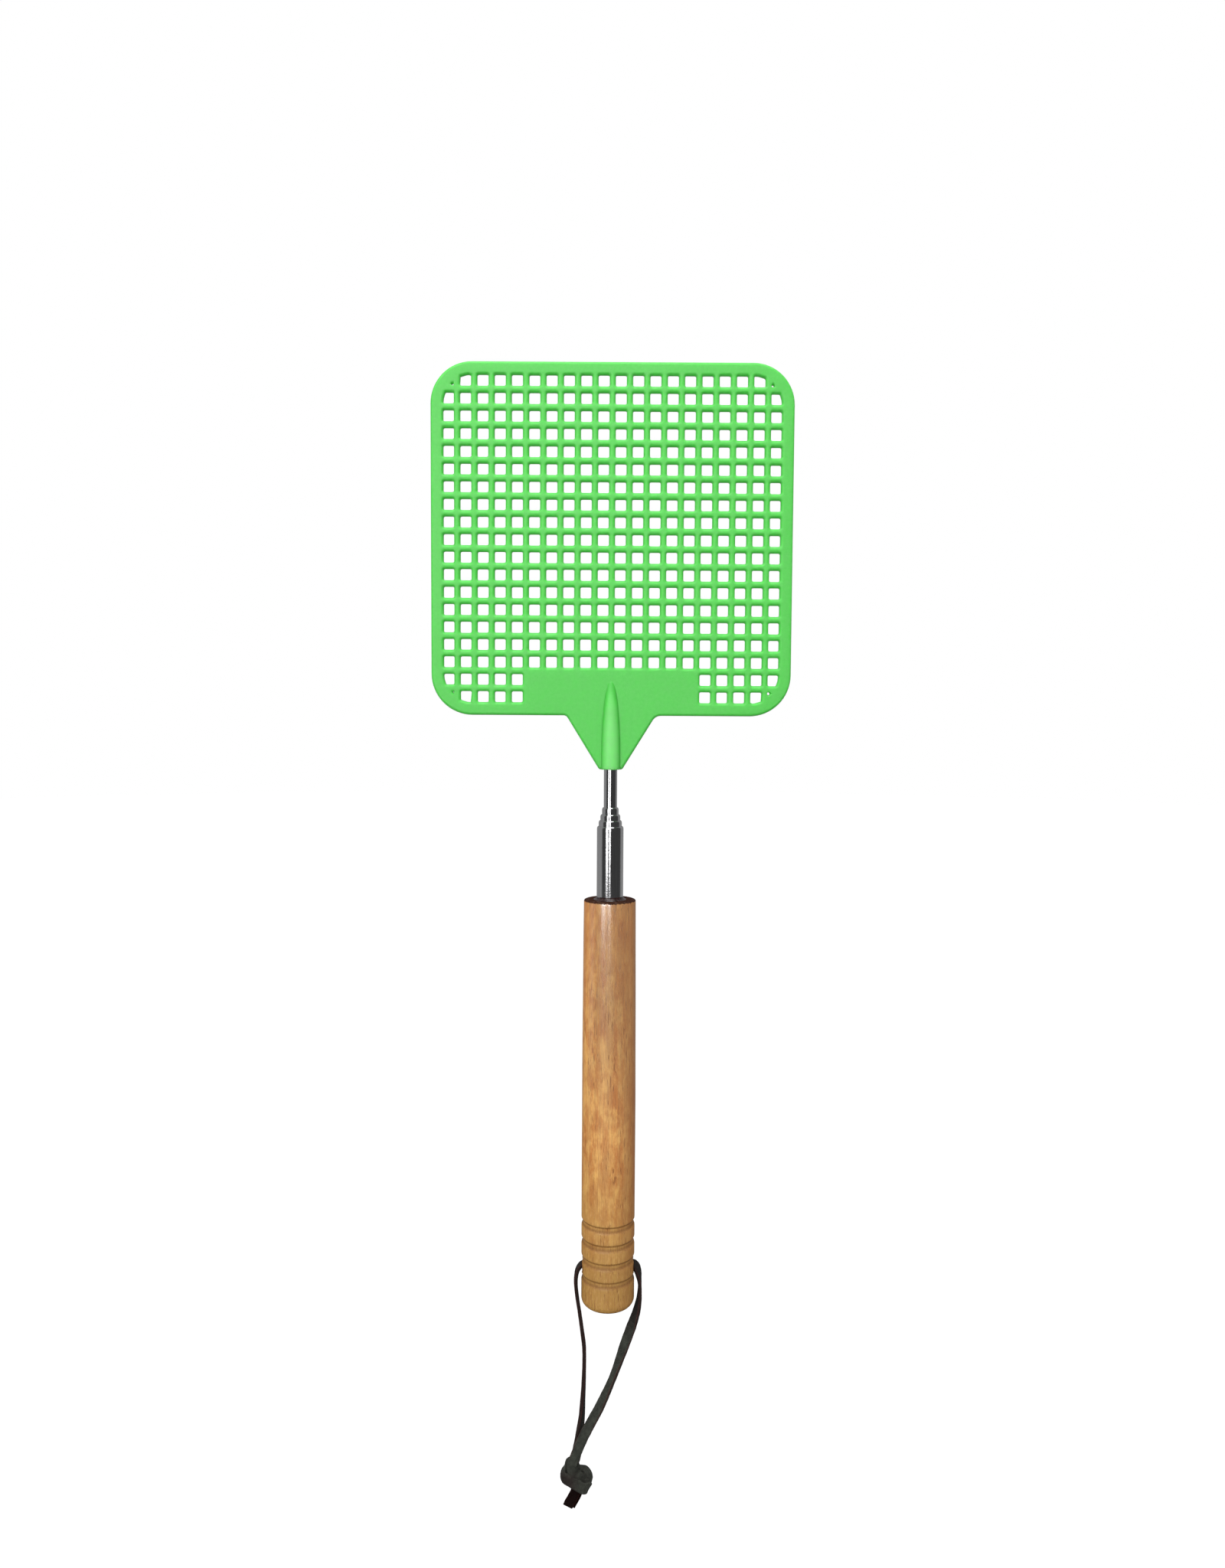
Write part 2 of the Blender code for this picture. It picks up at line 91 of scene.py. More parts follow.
# Throats of the four corner holes, which the rim nearly closes, and the width of the dimple round them
PINHOLES = {(0, 0): 0.00027, (0, 19): 0.00036, (18, 0): 0.00012, (18, 19): 0.00040}
DIMPLE_EDGE = 0.00035
SOLID_COLUMNS = range(5, 15)
SOLID_ROWS = range(17, 19)
NECK_HALF_WIDTH = 0.00345
NECK_TOP_HALF_WIDTH = 0.01335
NECK_FILLETS = {-1: 0.0014, 1: 0.0028}
NECK_FOOT_ROUND = 0.0010
SOCKET_RADIUS = 0.0031
SOCKET_TIP_Z = 0.1296
SOCKET_TAPER = 2.6
SOCKET_FOOT_ROUND = 0.0004
SOCKET_RINGS = 24
SOCKET_BORE_DEPTH = 0.0176
SOCKET_BORE_CLEARANCE = 0.0001

# Rod: sizes
TUBE_DIAMETERS = (0.008, 0.007, 0.006, 0.005, 0.004)
TUBE_WALL = 0.00025
SWAGE_LENGTH = 0.0014
SHOULDER_HEIGHT = 0.0008
SWAGE_CLEARANCE = 0.00006
SHIM_SEAT = 0.0063
BEAD_HEIGHT = 0.0006
BEAD_RISE = 0.00017
TIP_CHAMFER = 0.0001

# Glue: the gaps to the rod and into the wood, how hollow its slope is and how lumpy
GLUE_GAP = 0.00002
GLUE_SINK = 0.00008
GLUE_HOLLOW = 2.8
GLUE_LUMPS = 0.35

# Handle: places and sizes
HANDLE_RADIUS = 0.00815
HANDLE_NECK_RADIUS = 0.0078
HANDLE_TOP_EDGE = 0.0005
BUTT_ROUND = 0.0025
GROOVE_COUNT = 4
GROOVE_PITCH = 0.0057
FIRST_GROOVE_Z = -0.0363
GROOVE_HALF_WIDTH = 0.00105
GROOVE_DEPTH = 0.00042
BORE_RADIUS = 0.0041
BORE_BOTTOM_Z = -0.0438
LANYARD_HOLE_Z = -0.0504
LANYARD_HOLE_RADIUS = 0.0021
HOLE_FLARE_WIDTH = 0.0009
HOLE_FLARE_DEPTH = 0.0011
BORE_CHAMFER = 0.0002
WOOD_SWELL = 0.00004

# Lanyard: sizes, the routes of its two strands and of the knot
THONG_WIDTH = 0.0031
THONG_THICKNESS = 0.00115
THONG_STEP = 0.0004
RIGHT_ROUTE = [
    (0.00015, 0.0, -0.0504),
    (0.004, 0.0, -0.0503),
    (0.0069, 0.0, -0.05015),
    (0.008, 0.0, -0.0503),
    (0.0087, 0.0, -0.0511),
    (0.00925, 0.0, -0.0524),
    (0.0096, 0.0, -0.0539),
    (0.00982, 0.0, -0.0556),
    (0.0099, 0.0, -0.0575),
    (0.00986, 0.0, -0.0592),
    (0.00965, -0.0001, -0.06175),
    (0.00907, -0.0002, -0.06469),
    (0.00823, -0.0003, -0.06753),
    (0.00671, -0.0005, -0.07182),
    (0.00518, -0.0007, -0.07609),
    (0.0037, -0.0009, -0.08036),
    (0.0022, -0.0011, -0.08463),
    (0.00049, -0.0012, -0.08895),
    (-0.00143, -0.0013, -0.09327),
    (-0.00283, -0.0013, -0.09626),
    (-0.00436, -0.0013, -0.09915),
    (-0.0064, -0.0013, -0.10313),
    (-0.0071, -0.0013, -0.10454),
    (-0.00771, -0.0013, -0.10595),
    (-0.00838, -0.0013, -0.10754),
    (-0.00895, -0.0013, -0.10895),
    (-0.00945, -0.0013, -0.11018),
    (-0.00979, -0.0013, -0.11133),
]
LEFT_ROUTE = [
    (-0.00015, 0.0, -0.0504),
    (-0.004, 0.0, -0.0503),
    (-0.0069, 0.0, -0.05025),
    (-0.008, 0.0, -0.0505),
    (-0.00865, 0.0, -0.0511),
    (-0.0092, 0.0, -0.052),
    (-0.00955, 0.0, -0.0531),
    (-0.00976, 0.0, -0.0546),
    (-0.00983, 0.0, -0.056),
    (-0.00972, 0.0, -0.058),
    (-0.00927, 0.0001, -0.06185),
    (-0.00879, 0.0002, -0.06491),
    (-0.00837, 0.0003, -0.06787),
    (-0.00777, 0.0005, -0.07238),
    (-0.00723, 0.0007, -0.07691),
    (-0.00713, 0.0009, -0.08144),
    (-0.00722, 0.0011, -0.08597),
    (-0.00736, 0.0013, -0.09051),
    (-0.00759, 0.0013, -0.09493),
    (-0.00782, 0.0013, -0.09934),
    (-0.00842, 0.0013, -0.10488),
    (-0.00853, 0.0013, -0.10629),
    (-0.00866, 0.0013, -0.1078),
    (-0.00889, 0.0013, -0.1093),
    (-0.00913, 0.0013, -0.11072),
    (-0.00943, 0.0013, -0.11188),
]
# How far each strand's flat side turns away from the front at each point of its route, in degrees
RIGHT_TWIST = [90, 90, 95, 110, 120, 115, 105, 95, 90, 86, 78, 64, 55, 30]
RIGHT_TWIST += [40, 58, 68, 66, 54, 46, 40, 25, 18, 12, 8, 4, 2, 0]
LEFT_TWIST = [-90, -90, -90, -91, -92, -92, -93, -93, -94, -95, -97, -96, -95, -93]
LEFT_TWIST += [-90, -89, -86, -82, -76, -68, -50, -42, -32, -22, -12, -6]
# The doubled thong through the knot: its place from the knot's middle, in millimetres, and the way it faces
KNOT_MIDDLE = (-0.0090, 0.0, -0.1190)
KNOT_ROUTE = [
    (-1.27, -0.9, 5.72, 0.03, -0.82, 0.57),
    (-1.57, -0.9, 4.31, 0.03, -0.82, 0.57),
    (-1.17, -0.82, 2.84, 0.08, -0.79, 0.61),
    (0.01, -0.57, 1.35, 0.12, -0.67, 0.73),
    (1.53, 0.0, -0.02, 0.38, -0.81, 0.45),
    (2.77, 0.49, -0.63, 0.78, -0.62, 0.1),
    (2.87, 0.82, 0.03, 0.84, -0.37, 0.39),
    (2.4, 1.06, 0.74, 0.76, -0.23, 0.61),
    (1.58, 1.31, 1.36, 0.54, -0.06, 0.84),
    (0.54, 1.47, 1.68, 0.3, 0.34, 0.89),
    (-0.66, 1.56, 2.59, 0.09, 0.89, 0.45),
    (-1.77, 1.39, 3.91, -0.15, 0.99, 0.01),
    (-2.69, 0.9, 4.46, -0.81, 0.54, 0.22),
    (-3.14, 0.33, 3.44, -0.99, -0.06, 0.14),
    (-3.78, -0.49, 2.06, -0.9, -0.4, 0.19),
    (-3.23, -1.47, 1.43, -0.43, -0.84, 0.33),
    (-1.71, -2.12, 0.76, -0.07, -0.89, 0.45),
    (0.07, -2.28, -0.31, 0.02, -0.84, 0.54),
    (1.59, -1.87, -1.48, 0.22, -0.87, 0.45),
    (2.64, -1.06, -1.65, 0.6, -0.8, 0.04),
    (2.96, -0.08, -1.99, 0.76, -0.45, -0.47),
    (2.46, 0.81, -2.69, 0.6, 0.21, -0.77),
    (1.25, 1.46, -3.38, 0.18, 0.74, -0.65),
    (0.39, 1.54, -3.88, -0.02, 0.81, -0.58),
    (-0.21, 1.22, -4.63, -0.02, 0.81, -0.59),
    (-0.61, 0.97, -5.7, -0.02, 0.81, -0.59),
    (-1.41, 0.65, -7.07, -0.03, 0.81, -0.59),
    (-2.29, 0.4, -8.5, -0.03, 0.81, -0.59),
    (-2.75, 0.24, -9.41, -0.03, 0.8, -0.59),
]
# How far the two thongs lie aside in the knot and over each other, and the steps in which they come together
LAYER_SHIFT = 0.00035
LAYER_SPACING = THONG_THICKNESS * 0.52
JOIN_STEPS = 8
TAIL_LENGTH = 0.0062
SEAM_STEPS = 4
# Depths below the handle's middle between which each strand turns from painted shade to painted pale light
RIGHT_LIGHTING = (0.065, 0.074)
LEFT_LIGHTING = (0.098, 0.110)
KNOT_VOXEL = 0.00013


# Camera, light and floor


def add_object(name, data):
    obj = bpy.data.objects.new(name, data)
    bpy.context.scene.collection.objects.link(obj)
    return obj


def build_camera():
    camera = bpy.data.cameras.new("camera")
    camera.sensor_fit = "AUTO"
    camera.sensor_width = 36.0
    camera.lens = CAMERA_LENS
    camera.clip_start = 0.01
    camera.clip_end = 50.0
    obj = add_object("camera", camera)
    obj.location = (CAMERA_X, -CAMERA_DISTANCE, CAMERA_HEIGHT)
    aim = Matrix.Rotation(math.radians(90 - CAMERA_TILT), 4, "X")
    roll = Matrix.Rotation(math.radians(CAMERA_ROLL), 4, "Z")
    obj.rotation_euler = (aim @ roll).to_euler()
    bpy.context.scene.camera = obj


def area_light(name, azimuth, elevation, distance, size, power, glossy=True):
    """A soft box that looks at the handle's top. Azimuth 0 is the front, and positive is to the right."""
    target = Vector((0.0, 0.0, HANDLE_HIGH.z))
    a = math.radians(azimuth)
    e = math.radians(elevation)
    out = Vector((math.sin(a) * math.cos(e), -math.cos(a) * math.cos(e), math.sin(e)))
    light = bpy.data.lights.new(name, "AREA")
    light.shape = "RECTANGLE"
    light.size, light.size_y = size
    light.energy = power
    obj = add_object(name, light)
    obj.location = target + out * distance
    obj.rotation_euler = (-out).to_track_quat("-Z", "Y").to_euler()
    obj.visible_camera = False
    obj.visible_glossy = glossy
    return obj


def build_lights():
    area_light("key_left", -27.0, 22.0, 1.0, (0.34, 1.15), 4.0)
    area_light("key_right", -2.5, 22.0, 1.0, (0.24, 1.15), 2.4)
    area_light("top_fill", 0.0, 68.0, 1.2, (1.0, 0.8), 9.0)
    area_light("front_fill", -15.0, 5.0, 1.2, (1.0, 1.2), 2.0, glossy=False)
    area_light("back_fill", 170.0, 35.0, 1.6, (1.2, 1.2), 8.0, glossy=False)


def build_world():
    """White to the camera, a glow from above on matt surfaces, dark in front and pale behind in mirrors."""
    world = bpy.data.worlds.new("studio")
    bpy.context.scene.world = world
    world.use_nodes = True
    tree = world.node_tree
    tree.nodes.clear()
    link = tree.links.new
    direction = tree.nodes.new("ShaderNodeTexCoord").outputs["Generated"]
    split = tree.nodes.new("ShaderNodeSeparateXYZ")
    link(direction, split.inputs[0])
    lean = tree.nodes.new("ShaderNodeMath")
    lean.operation = "MULTIPLY_ADD"
    lean.inputs[1].default_value = -0.25
    link(split.outputs["X"], lean.inputs[0])
    link(split.outputs["Y"], lean.inputs[2])
    ramp = tree.nodes.new("ShaderNodeMapRange")
    ramp.interpolation_type = "SMOOTHSTEP"
    link(lean.outputs[0], ramp.inputs["Value"])
    ramp_range = {"From Min": -0.20, "From Max": 0.12, "To Min": MIRROR_FRONT, "To Max": MIRROR_BACK}
    for key, value in ramp_range.items():
        ramp.inputs[key].default_value = value
    glow = tree.nodes.new("ShaderNodeMapRange")
    link(split.outputs["Z"], glow.inputs["Value"])
    glow_range = {"From Min": -0.7, "From Max": 0.7, "To Min": AMBIENT_BELOW, "To Max": AMBIENT_ABOVE}
    for key, value in glow_range.items():
        glow.inputs[key].default_value = value
    path = tree.nodes.new("ShaderNodeLightPath")
    level = tree.nodes.new("ShaderNodeMix")
    link(path.outputs["Is Glossy Ray"], level.inputs[0])
    link(glow.outputs["Result"], level.inputs[2])
    link(ramp.outputs["Result"], level.inputs[3])
    lit = tree.nodes.new("ShaderNodeBackground")
    link(level.outputs[0], lit.inputs["Strength"])
    seen = tree.nodes.new("ShaderNodeBackground")
    seen.inputs["Color"].default_value = (1.0, 1.0, 1.0, 1.0)
    mix = tree.nodes.new("ShaderNodeMixShader")
    link(path.outputs["Is Camera Ray"], mix.inputs["Fac"])
    link(lit.outputs[0], mix.inputs[1])
    link(seen.outputs[0], mix.inputs[2])
    out = tree.nodes.new("ShaderNodeOutputWorld")
    link(mix.outputs[0], out.inputs["Surface"])
    bpy.context.scene.view_settings.view_transform = "Standard"


# Node graphs


class Graph:
    """A material's node tree, built one node at a time."""

    def __init__(self, name):
        self.material = bpy.data.materials.new(name)
        self.material.use_nodes = True
        self.tree = self.material.node_tree
        self.tree.nodes.clear()
        self.output = self.tree.nodes.new("ShaderNodeOutputMaterial")

    def add(self, kind, inputs=None, **settings):
        node = self.tree.nodes.new("ShaderNode" + kind)
        for key, value in settings.items():
            setattr(node, key, value)
        for key, value in (inputs or {}).items():
            self.feed(node.inputs[key], value)
        return node

    def feed(self, socket, value):
        if isinstance(value, bpy.types.NodeSocket):
            self.tree.links.new(value, socket)
        elif isinstance(value, tuple) and len(value) == 3 and socket.type == "RGBA":
            socket.default_value = (*value, 1.0)
        else:
            socket.default_value = value

    def coords(self, scale=(1.0, 1.0, 1.0)):
        """Object coordinates, stretched by one over the scale along each axis."""
        place = self.add("TexCoord")
        return self.add("Mapping", {"Vector": place.outputs["Object"], "Scale": scale}).outputs[0]

    def noise(self, vector, scale, detail=3.0, roughness=0.5, distortion=0.0):
        inputs = {"Vector": vector, "Scale": scale, "Detail": detail}
        inputs |= {"Roughness": roughness, "Distortion": distortion}
        return self.add("TexNoise", inputs).outputs["Fac"]

    def remap(self, value, low, high, to_low=0.0, to_high=1.0):
        inputs = {"Value": value, "From Min": low, "From Max": high}
        inputs |= {"To Min": to_low, "To Max": to_high}
        return self.add("MapRange", inputs).outputs["Result"]

    def math(self, operation, a, b=0.0):
        return self.add("Math", {0: a, 1: b}, operation=operation).outputs[0]

    def mix(self, factor, a, b, blend="MIX"):
        node = self.add("Mix", data_type="RGBA", blend_type=blend)
        self.feed(node.inputs["Factor"], factor)
        self.feed(node.inputs[6], a)
        self.feed(node.inputs[7], b)
        return node.outputs[2]

    def bump(self, height, strength, distance, normal=None):
        inputs = {"Height": height, "Strength": strength, "Distance": distance}
        if normal:
            inputs["Normal"] = normal
        return self.add("Bump", inputs).outputs[0]

    def height_z(self):
        place = self.add("TexCoord")
        return self.add("SeparateXYZ", {0: place.outputs["Object"]}).outputs["Z"]

    def finish(self, **inputs):
        shader = self.add("BsdfPrincipled")
        for key, value in inputs.items():
            self.feed(shader.inputs[key.replace("_", " ")], value)
        self.tree.links.new(shader.outputs[0], self.output.inputs["Surface"])
        return self.material


def plastic_material():
    """Green polyolefin: satin, slightly see-through, with the fine mottle of a moulded face, a painted
    highlight on the socket's front and painted shade at the socket's foot.
    """
    g = Graph("flap_plastic")
    mottle = g.noise(g.coords(), 900.0, 4.0, 0.6)
    cloud = g.noise(g.coords(), 60.0, 2.0)
    color = g.mix(g.remap(mottle, 0.3, 0.7), (0.083, 0.524, 0.076), (0.107, 0.554, 0.098))
    color = g.mix(g.remap(cloud, 0.35, 0.65, 0.0, 0.25), color, (0.074, 0.509, 0.066))
    out = g.math("ABSOLUTE", g.add("SeparateXYZ", {0: g.coords()}).outputs["Y"])
    # Painted highlight: the socket's front, standing out from the sheet, is painted paler green.
    color = g.mix(g.remap(out, 0.0018, 0.0029, 0.0, 0.85), color, (0.205, 0.700, 0.190))
    # Painted shade: the socket's foot, just off the sheet's face, is painted darker green.
    crease_shade = g.math("MULTIPLY", g.remap(out, 0.00112, 0.00125), g.remap(out, 0.0021, 0.0014))
    color = g.mix(g.math("MULTIPLY", crease_shade, 0.6), color, (0.045, 0.410, 0.040))
    rough = g.remap(mottle, 0.3, 0.7, 0.42, 0.52)
    grain = g.bump(mottle, 0.25, 0.00004)
    grain = g.bump(cloud, 0.25, 0.0003, grain)
    return g.finish(
        Base_Color=color,
        Roughness=rough,
        Normal=grain,
        Subsurface_Weight=0.8,
        Subsurface_Radius=(0.25, 1.0, 0.22),
        Subsurface_Scale=0.0024,
        IOR=1.49,
    )


def steel_material():
    """Bright drawn tube: lengthwise draw lines, faint smears and a few dull specks."""
    g = Graph("steel")
    lines = g.noise(g.coords((1.0, 1.0, 0.012)), 6000.0, 3.0, 0.6)
    smear = g.noise(g.coords((1.0, 1.0, 0.4)), 260.0, 3.0)
    speck = g.noise(g.coords(), 2600.0, 2.0)
    color = g.mix(g.remap(lines, 0.3, 0.7), (0.50, 0.50, 0.51), (0.66, 0.66, 0.67))
    color = g.mix(g.remap(speck, 0.66, 0.74, 0.0, 0.5), color, (0.22, 0.21, 0.20))
    rough = g.math("ADD", g.remap(smear, 0.3, 0.7, 0.05, 0.13), g.remap(lines, 0.3, 0.7, 0.0, 0.05))
    wave = g.bump(lines, 0.15, 0.00002)
    wave = g.bump(smear, 0.2, 0.00008, wave)
    wave = g.bump(speck, 0.5, 0.00002, wave)
    return g.finish(Base_Color=color, Metallic=1.0, Roughness=rough, Normal=wave)


def brass_material():
    """Spring brass, rolled, with rubbed streaks along the way it slides."""
    g = Graph("brass")
    rub = g.noise(g.coords((1.0, 1.0, 0.05)), 4000.0, 3.0)
    tarnish = g.noise(g.coords(), 500.0, 3.0)
    color = g.mix(g.remap(tarnish, 0.35, 0.7), (0.72, 0.50, 0.19), (0.46, 0.30, 0.12))
    rough = g.remap(rub, 0.3, 0.7, 0.25, 0.45)
    return g.finish(
        Base_Color=color, Metallic=1.0, Roughness=rough, Normal=g.bump(rub, 0.3, 0.00002)
    )


def wood_material():
    """Varnished hardwood: golden and orange patches, short pores, grooves with a painted shadow under the
    upper lip and a brown stain lower down, painted shade down the right side, and a dark top face.
    """
    g = Graph("handle_wood")
    z = g.height_z()
    patch = g.noise(g.coords((1.0, 1.0, 0.45)), 360.0, 4.0, 0.65)
    cloud = g.noise(g.coords((1.0, 1.0, 0.35)), 190.0, 3.0, 0.6)
    band = g.noise(g.coords((1.0, 1.0, 0.03)), 420.0, 2.0, 0.5)
    fibre = g.noise(g.coords((1.0, 1.0, 0.045)), 3000.0, 4.0, 0.7)
    fleck = g.noise(g.coords((1.0, 1.0, 0.22)), 2600.0, 2.0, 0.6)
    pore = g.noise(g.coords((1.0, 1.0, 0.10)), 2700.0, 2.0, 0.55)
    cluster = g.noise(g.coords((1.0, 1.0, 0.35)), 300.0, 2.0)
    color = g.mix(g.remap(patch, 0.40, 0.58), (0.74, 0.395, 0.118), (0.52, 0.198, 0.052))
    color = g.mix(g.remap(cloud, 0.46, 0.64, 0.0, 0.6), color, (0.44, 0.165, 0.048))
    color = g.mix(g.remap(band, 0.42, 0.66, 0.0, 0.4), color, (0.62, 0.36, 0.118))
    color = g.mix(g.remap(z, 0.015, 0.060, 0.0, 0.35), color, (0.60, 0.245, 0.075))
    butt = g.remap(z, -0.052, -0.012, 1.0, 0.0)
    color = g.mix(g.math("MULTIPLY", butt, 0.8), color, (0.345, 0.200, 0.052))
    color = g.mix(g.remap(fibre, 0.44, 0.70, 0.0, 0.58), color, (0.30, 0.125, 0.040))
    color = g.mix(g.remap(fleck, 0.54, 0.74, 0.0, 0.30), color, (0.74, 0.46, 0.190))
    pores = g.math("MULTIPLY", g.remap(pore, 0.605, 0.665), g.remap(cluster, 0.38, 0.54))
    depth = g.math("MULTIPLY", pores, g.remap(z, 0.010, 0.045, 0.66, 0.38))
    color = g.mix(depth, color, (0.190, 0.062, 0.018))
    # Painted shade: the handle's right side is painted browner and darker, more so higher up.
    right = g.add("SeparateXYZ", {0: g.coords()}).outputs["X"]
    shade = g.math("MULTIPLY", g.remap(right, 0.0025, 0.0075), g.remap(z, -0.045, -0.01, 0.5, 1.0))
    color = g.mix(g.math("MULTIPLY", shade, 0.7), color, (0.33, 0.142, 0.060))
    # This attribute darkens the wood: a painted shadow under each groove's upper lip, a brown stain lower in
    # each groove, and darker wood round and inside the holes.
    stain_and_shade = g.add("Attribute", attribute_name="stain_and_shade").outputs["Fac"]
    stain_and_shade_mix = g.math("MULTIPLY", stain_and_shade, g.remap(fibre, 0.2, 0.8, 0.6, 1.1))
    color = g.mix(stain_and_shade_mix, color, (0.190, 0.090, 0.033))
    top = HANDLE_HIGH.z
    # The top face and the edge just below it are darkened to near black, with a ragged border and dark
    # streaks below the rim.
    ragged = g.noise(g.coords((1.0, 1.0, 0.2)), 2400.0, 3.0, 0.7)
    below = g.math("SUBTRACT", top, z)
    dark_top = g.remap(g.math("SUBTRACT", below, g.remap(ragged, 0.35, 0.7, 0.00015, 0.00045)), 0.00025, 0.0)
    streak = g.math("MULTIPLY", g.remap(ragged, 0.56, 0.66), g.remap(below, 0.0042, 0.0006, 0.0, 0.7))
    color = g.mix(streak, color, (0.095, 0.032, 0.016))
    color = g.mix(g.math("MULTIPLY", dark_top, 0.96), color, (0.016, 0.007, 0.008))
    scratch = g.noise(g.coords((0.15, 1.0, 1.0)), 2600.0, 2.0, 0.6)
    scratched = g.math("MULTIPLY", dark_top, g.remap(scratch, 0.60, 0.68, 0.0, 0.6))
    color = g.mix(scratched, color, (0.24, 0.17, 0.15))
    clean = g.math("SUBTRACT", 1.0, g.math("MAXIMUM", dark_top, g.math("MULTIPLY", stain_and_shade, 0.9)))
    facing = g.add("LayerWeight", {"Blend": 0.5}).outputs["Facing"]
    clean = g.math("MULTIPLY", clean, g.remap(facing, 0.12, 0.45, 1.0, 0.05))
    gloss = g.remap(z, -0.030, 0.034, 0.0, 1.0)
    rough = g.math("ADD", g.remap(fibre, 0.3, 0.7, 0.32, 0.44), g.math("MULTIPLY", gloss, -0.09))
    relief = g.bump(fibre, 0.5, 0.00004)
    relief = g.bump(pores, 0.6, -0.00008, relief)
    ripple = g.noise(g.coords((1.0, 1.0, 0.6)), 2600.0, 3.0, 0.65)
    varnish = g.bump(ripple, 0.6, 0.000035)
    varnish = g.bump(fibre, 0.3, 0.00003, varnish)
    return g.finish(
        Base_Color=color,
        Roughness=rough,
        Normal=relief,
        IOR=g.remap(gloss, 0.2, 1.0, 1.45, 1.75),
        Specular_IOR_Level=g.math("MULTIPLY", clean, g.remap(gloss, 0.0, 1.0, 0.5, 1.0)),
        Coat_Weight=g.math("MULTIPLY", clean, g.remap(gloss, 0.0, 1.0, 0.06, 1.0)),
        Coat_Roughness=0.10,
        Coat_Normal=varnish,
        Coat_IOR=g.remap(gloss, 0.2, 1.0, 1.4, 2.8),
    )


def glue_material():
    """Hardened brown glue, glossy, with trapped dust."""
    g = Graph("glue")
    dust = g.noise(g.coords(), 1800.0, 3.0)
    color = g.mix(g.remap(dust, 0.45, 0.75), (0.014, 0.006, 0.006), (0.055, 0.022, 0.018))
    return g.finish(
        Base_Color=color, Roughness=g.remap(dust, 0.3, 0.7, 0.12, 0.35), Normal=g.bump(dust, 0.4, 0.0001)
    )


def leather_material():
    """Dark leather: a short nap, painted pale grey-green where light falls on it and painted dark in shade,
    reddish black at its tips.
    """
    g = Graph("leather")
    nap = g.noise(g.coords(), 5200.0, 4.0, 0.7)
    patch = g.noise(g.coords(), 520.0, 3.0, 0.6)
    painted_light_and_tip = g.add("Attribute", attribute_name="painted_light_and_tip").outputs["Fac"]
    lit_pale = g.mix(g.remap(patch, 0.32, 0.7), (0.0215, 0.0238, 0.0188), (0.049, 0.0545, 0.043))
    dark = g.mix(g.remap(patch, 0.35, 0.68), (0.014, 0.0105, 0.0090), (0.025, 0.019, 0.017))
    # Painted light: pale grey-green where light falls, dark where the leather lies in shade.
    color = g.mix(painted_light_and_tip, dark, lit_pale)
    color = g.mix(g.math("MULTIPLY", painted_light_and_tip, -1.0), color, (0.0065, 0.0012, 0.0012))
    color = g.mix(g.remap(nap, 0.35, 0.7, 0.0, 0.5), color, (0.010, 0.008, 0.006))
    edge = g.add("Attribute", attribute_name="cut_edge").outputs["Fac"]
    color = g.mix(g.remap(edge, 0.45, 0.9, 0.0, 0.7), color, (0.020, 0.010, 0.008))
    corner = g.math("MULTIPLY", g.remap(edge, 0.08, 0.4), g.remap(edge, 0.85, 0.55))
    color = g.mix(g.math("MULTIPLY", corner, 0.5), color, (0.110, 0.012, 0.012))
    # Painted shade: the colour darkens towards black in the knot's crevices.
    open_air = g.add("AmbientOcclusion", {"Distance": 0.003}, samples=6).outputs["AO"]
    color = g.mix(g.remap(open_air, 0.92, 0.42), color, (0.004, 0.003, 0.002))
    relief = g.bump(nap, 0.7, 0.00012)
    relief = g.bump(patch, 0.35, 0.0003, relief)
    return g.finish(
        Base_Color=color,
        Roughness=g.remap(patch, 0.3, 0.7, 0.72, 0.88),
        Normal=relief,
        Specular_IOR_Level=g.remap(painted_light_and_tip, -1.0, 0.3, 0.06, 0.2),
        Sheen_Weight=g.remap(painted_light_and_tip, -0.2, 1.0, 0.0, 0.08),
        Sheen_Roughness=0.5,
        Sheen_Tint=(0.55, 0.58, 0.50),
    )


def floor_material():
    """Pale floor, nearly white, that still takes a faint shadow near the object."""
    g = Graph("floor")
    grain = g.noise(g.coords(), 40.0, 3.0)
    color = g.mix(g.remap(grain, 0.3, 0.7), (0.86, 0.86, 0.86), (0.90, 0.90, 0.90))
    matt = g.add("BsdfDiffuse", {"Color": color})
    glow = g.add("Emission", {"Color": (1.0, 1.0, 1.0), "Strength": 1.06})
    both = g.add("MixShader", {0: 0.93, 1: matt.outputs[0], 2: glow.outputs[0]})
    g.tree.links.new(both.outputs[0], g.output.inputs["Surface"])
    return g.material


def build_floor(material):
    bm = bmesh.new()
    bmesh.ops.create_circle(bm, cap_ends=True, segments=96, radius=FLOOR_RADIUS)
    mesh = bpy.data.meshes.new("floor")
    bm.to_mesh(mesh)
    bm.free()
    mesh.materials.append(material)
    floor = add_object("floor", mesh)
    floor.location.z = FLOOR_Z
    floor.visible_diffuse = False
    floor.visible_glossy = False


# Mesh helpers


def add_mesh(name, bm, material, sharp=35):
    """Turns a bmesh into a smooth piece with the given material."""
    bmesh.ops.recalc_face_normals(bm, faces=bm.faces)
    mesh = bpy.data.meshes.new(name)
    bm.to_mesh(mesh)
    bm.free()
    mesh.shade_smooth()
    mesh.set_sharp_from_angle(angle=math.radians(sharp))
    if material:
        mesh.materials.append(material)
    return add_object(name, mesh)


def place(obj, body, slot, *nodes):
    """The piece rides on a body and stands for CAD nodes. Its slot is not used."""
    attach(obj, body)
    if nodes:
        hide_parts(*nodes)
    return obj


def arc(centre, radius, start, end, steps):
    """Points on an arc from the start angle to the end angle, in degrees, both ends included."""
    points = []
    for i in range(steps + 1):
        angle = math.radians(start + (end - start) * i / steps)
        points.append((centre[0] + radius * math.cos(angle), centre[1] + radius * math.sin(angle)))
    return points


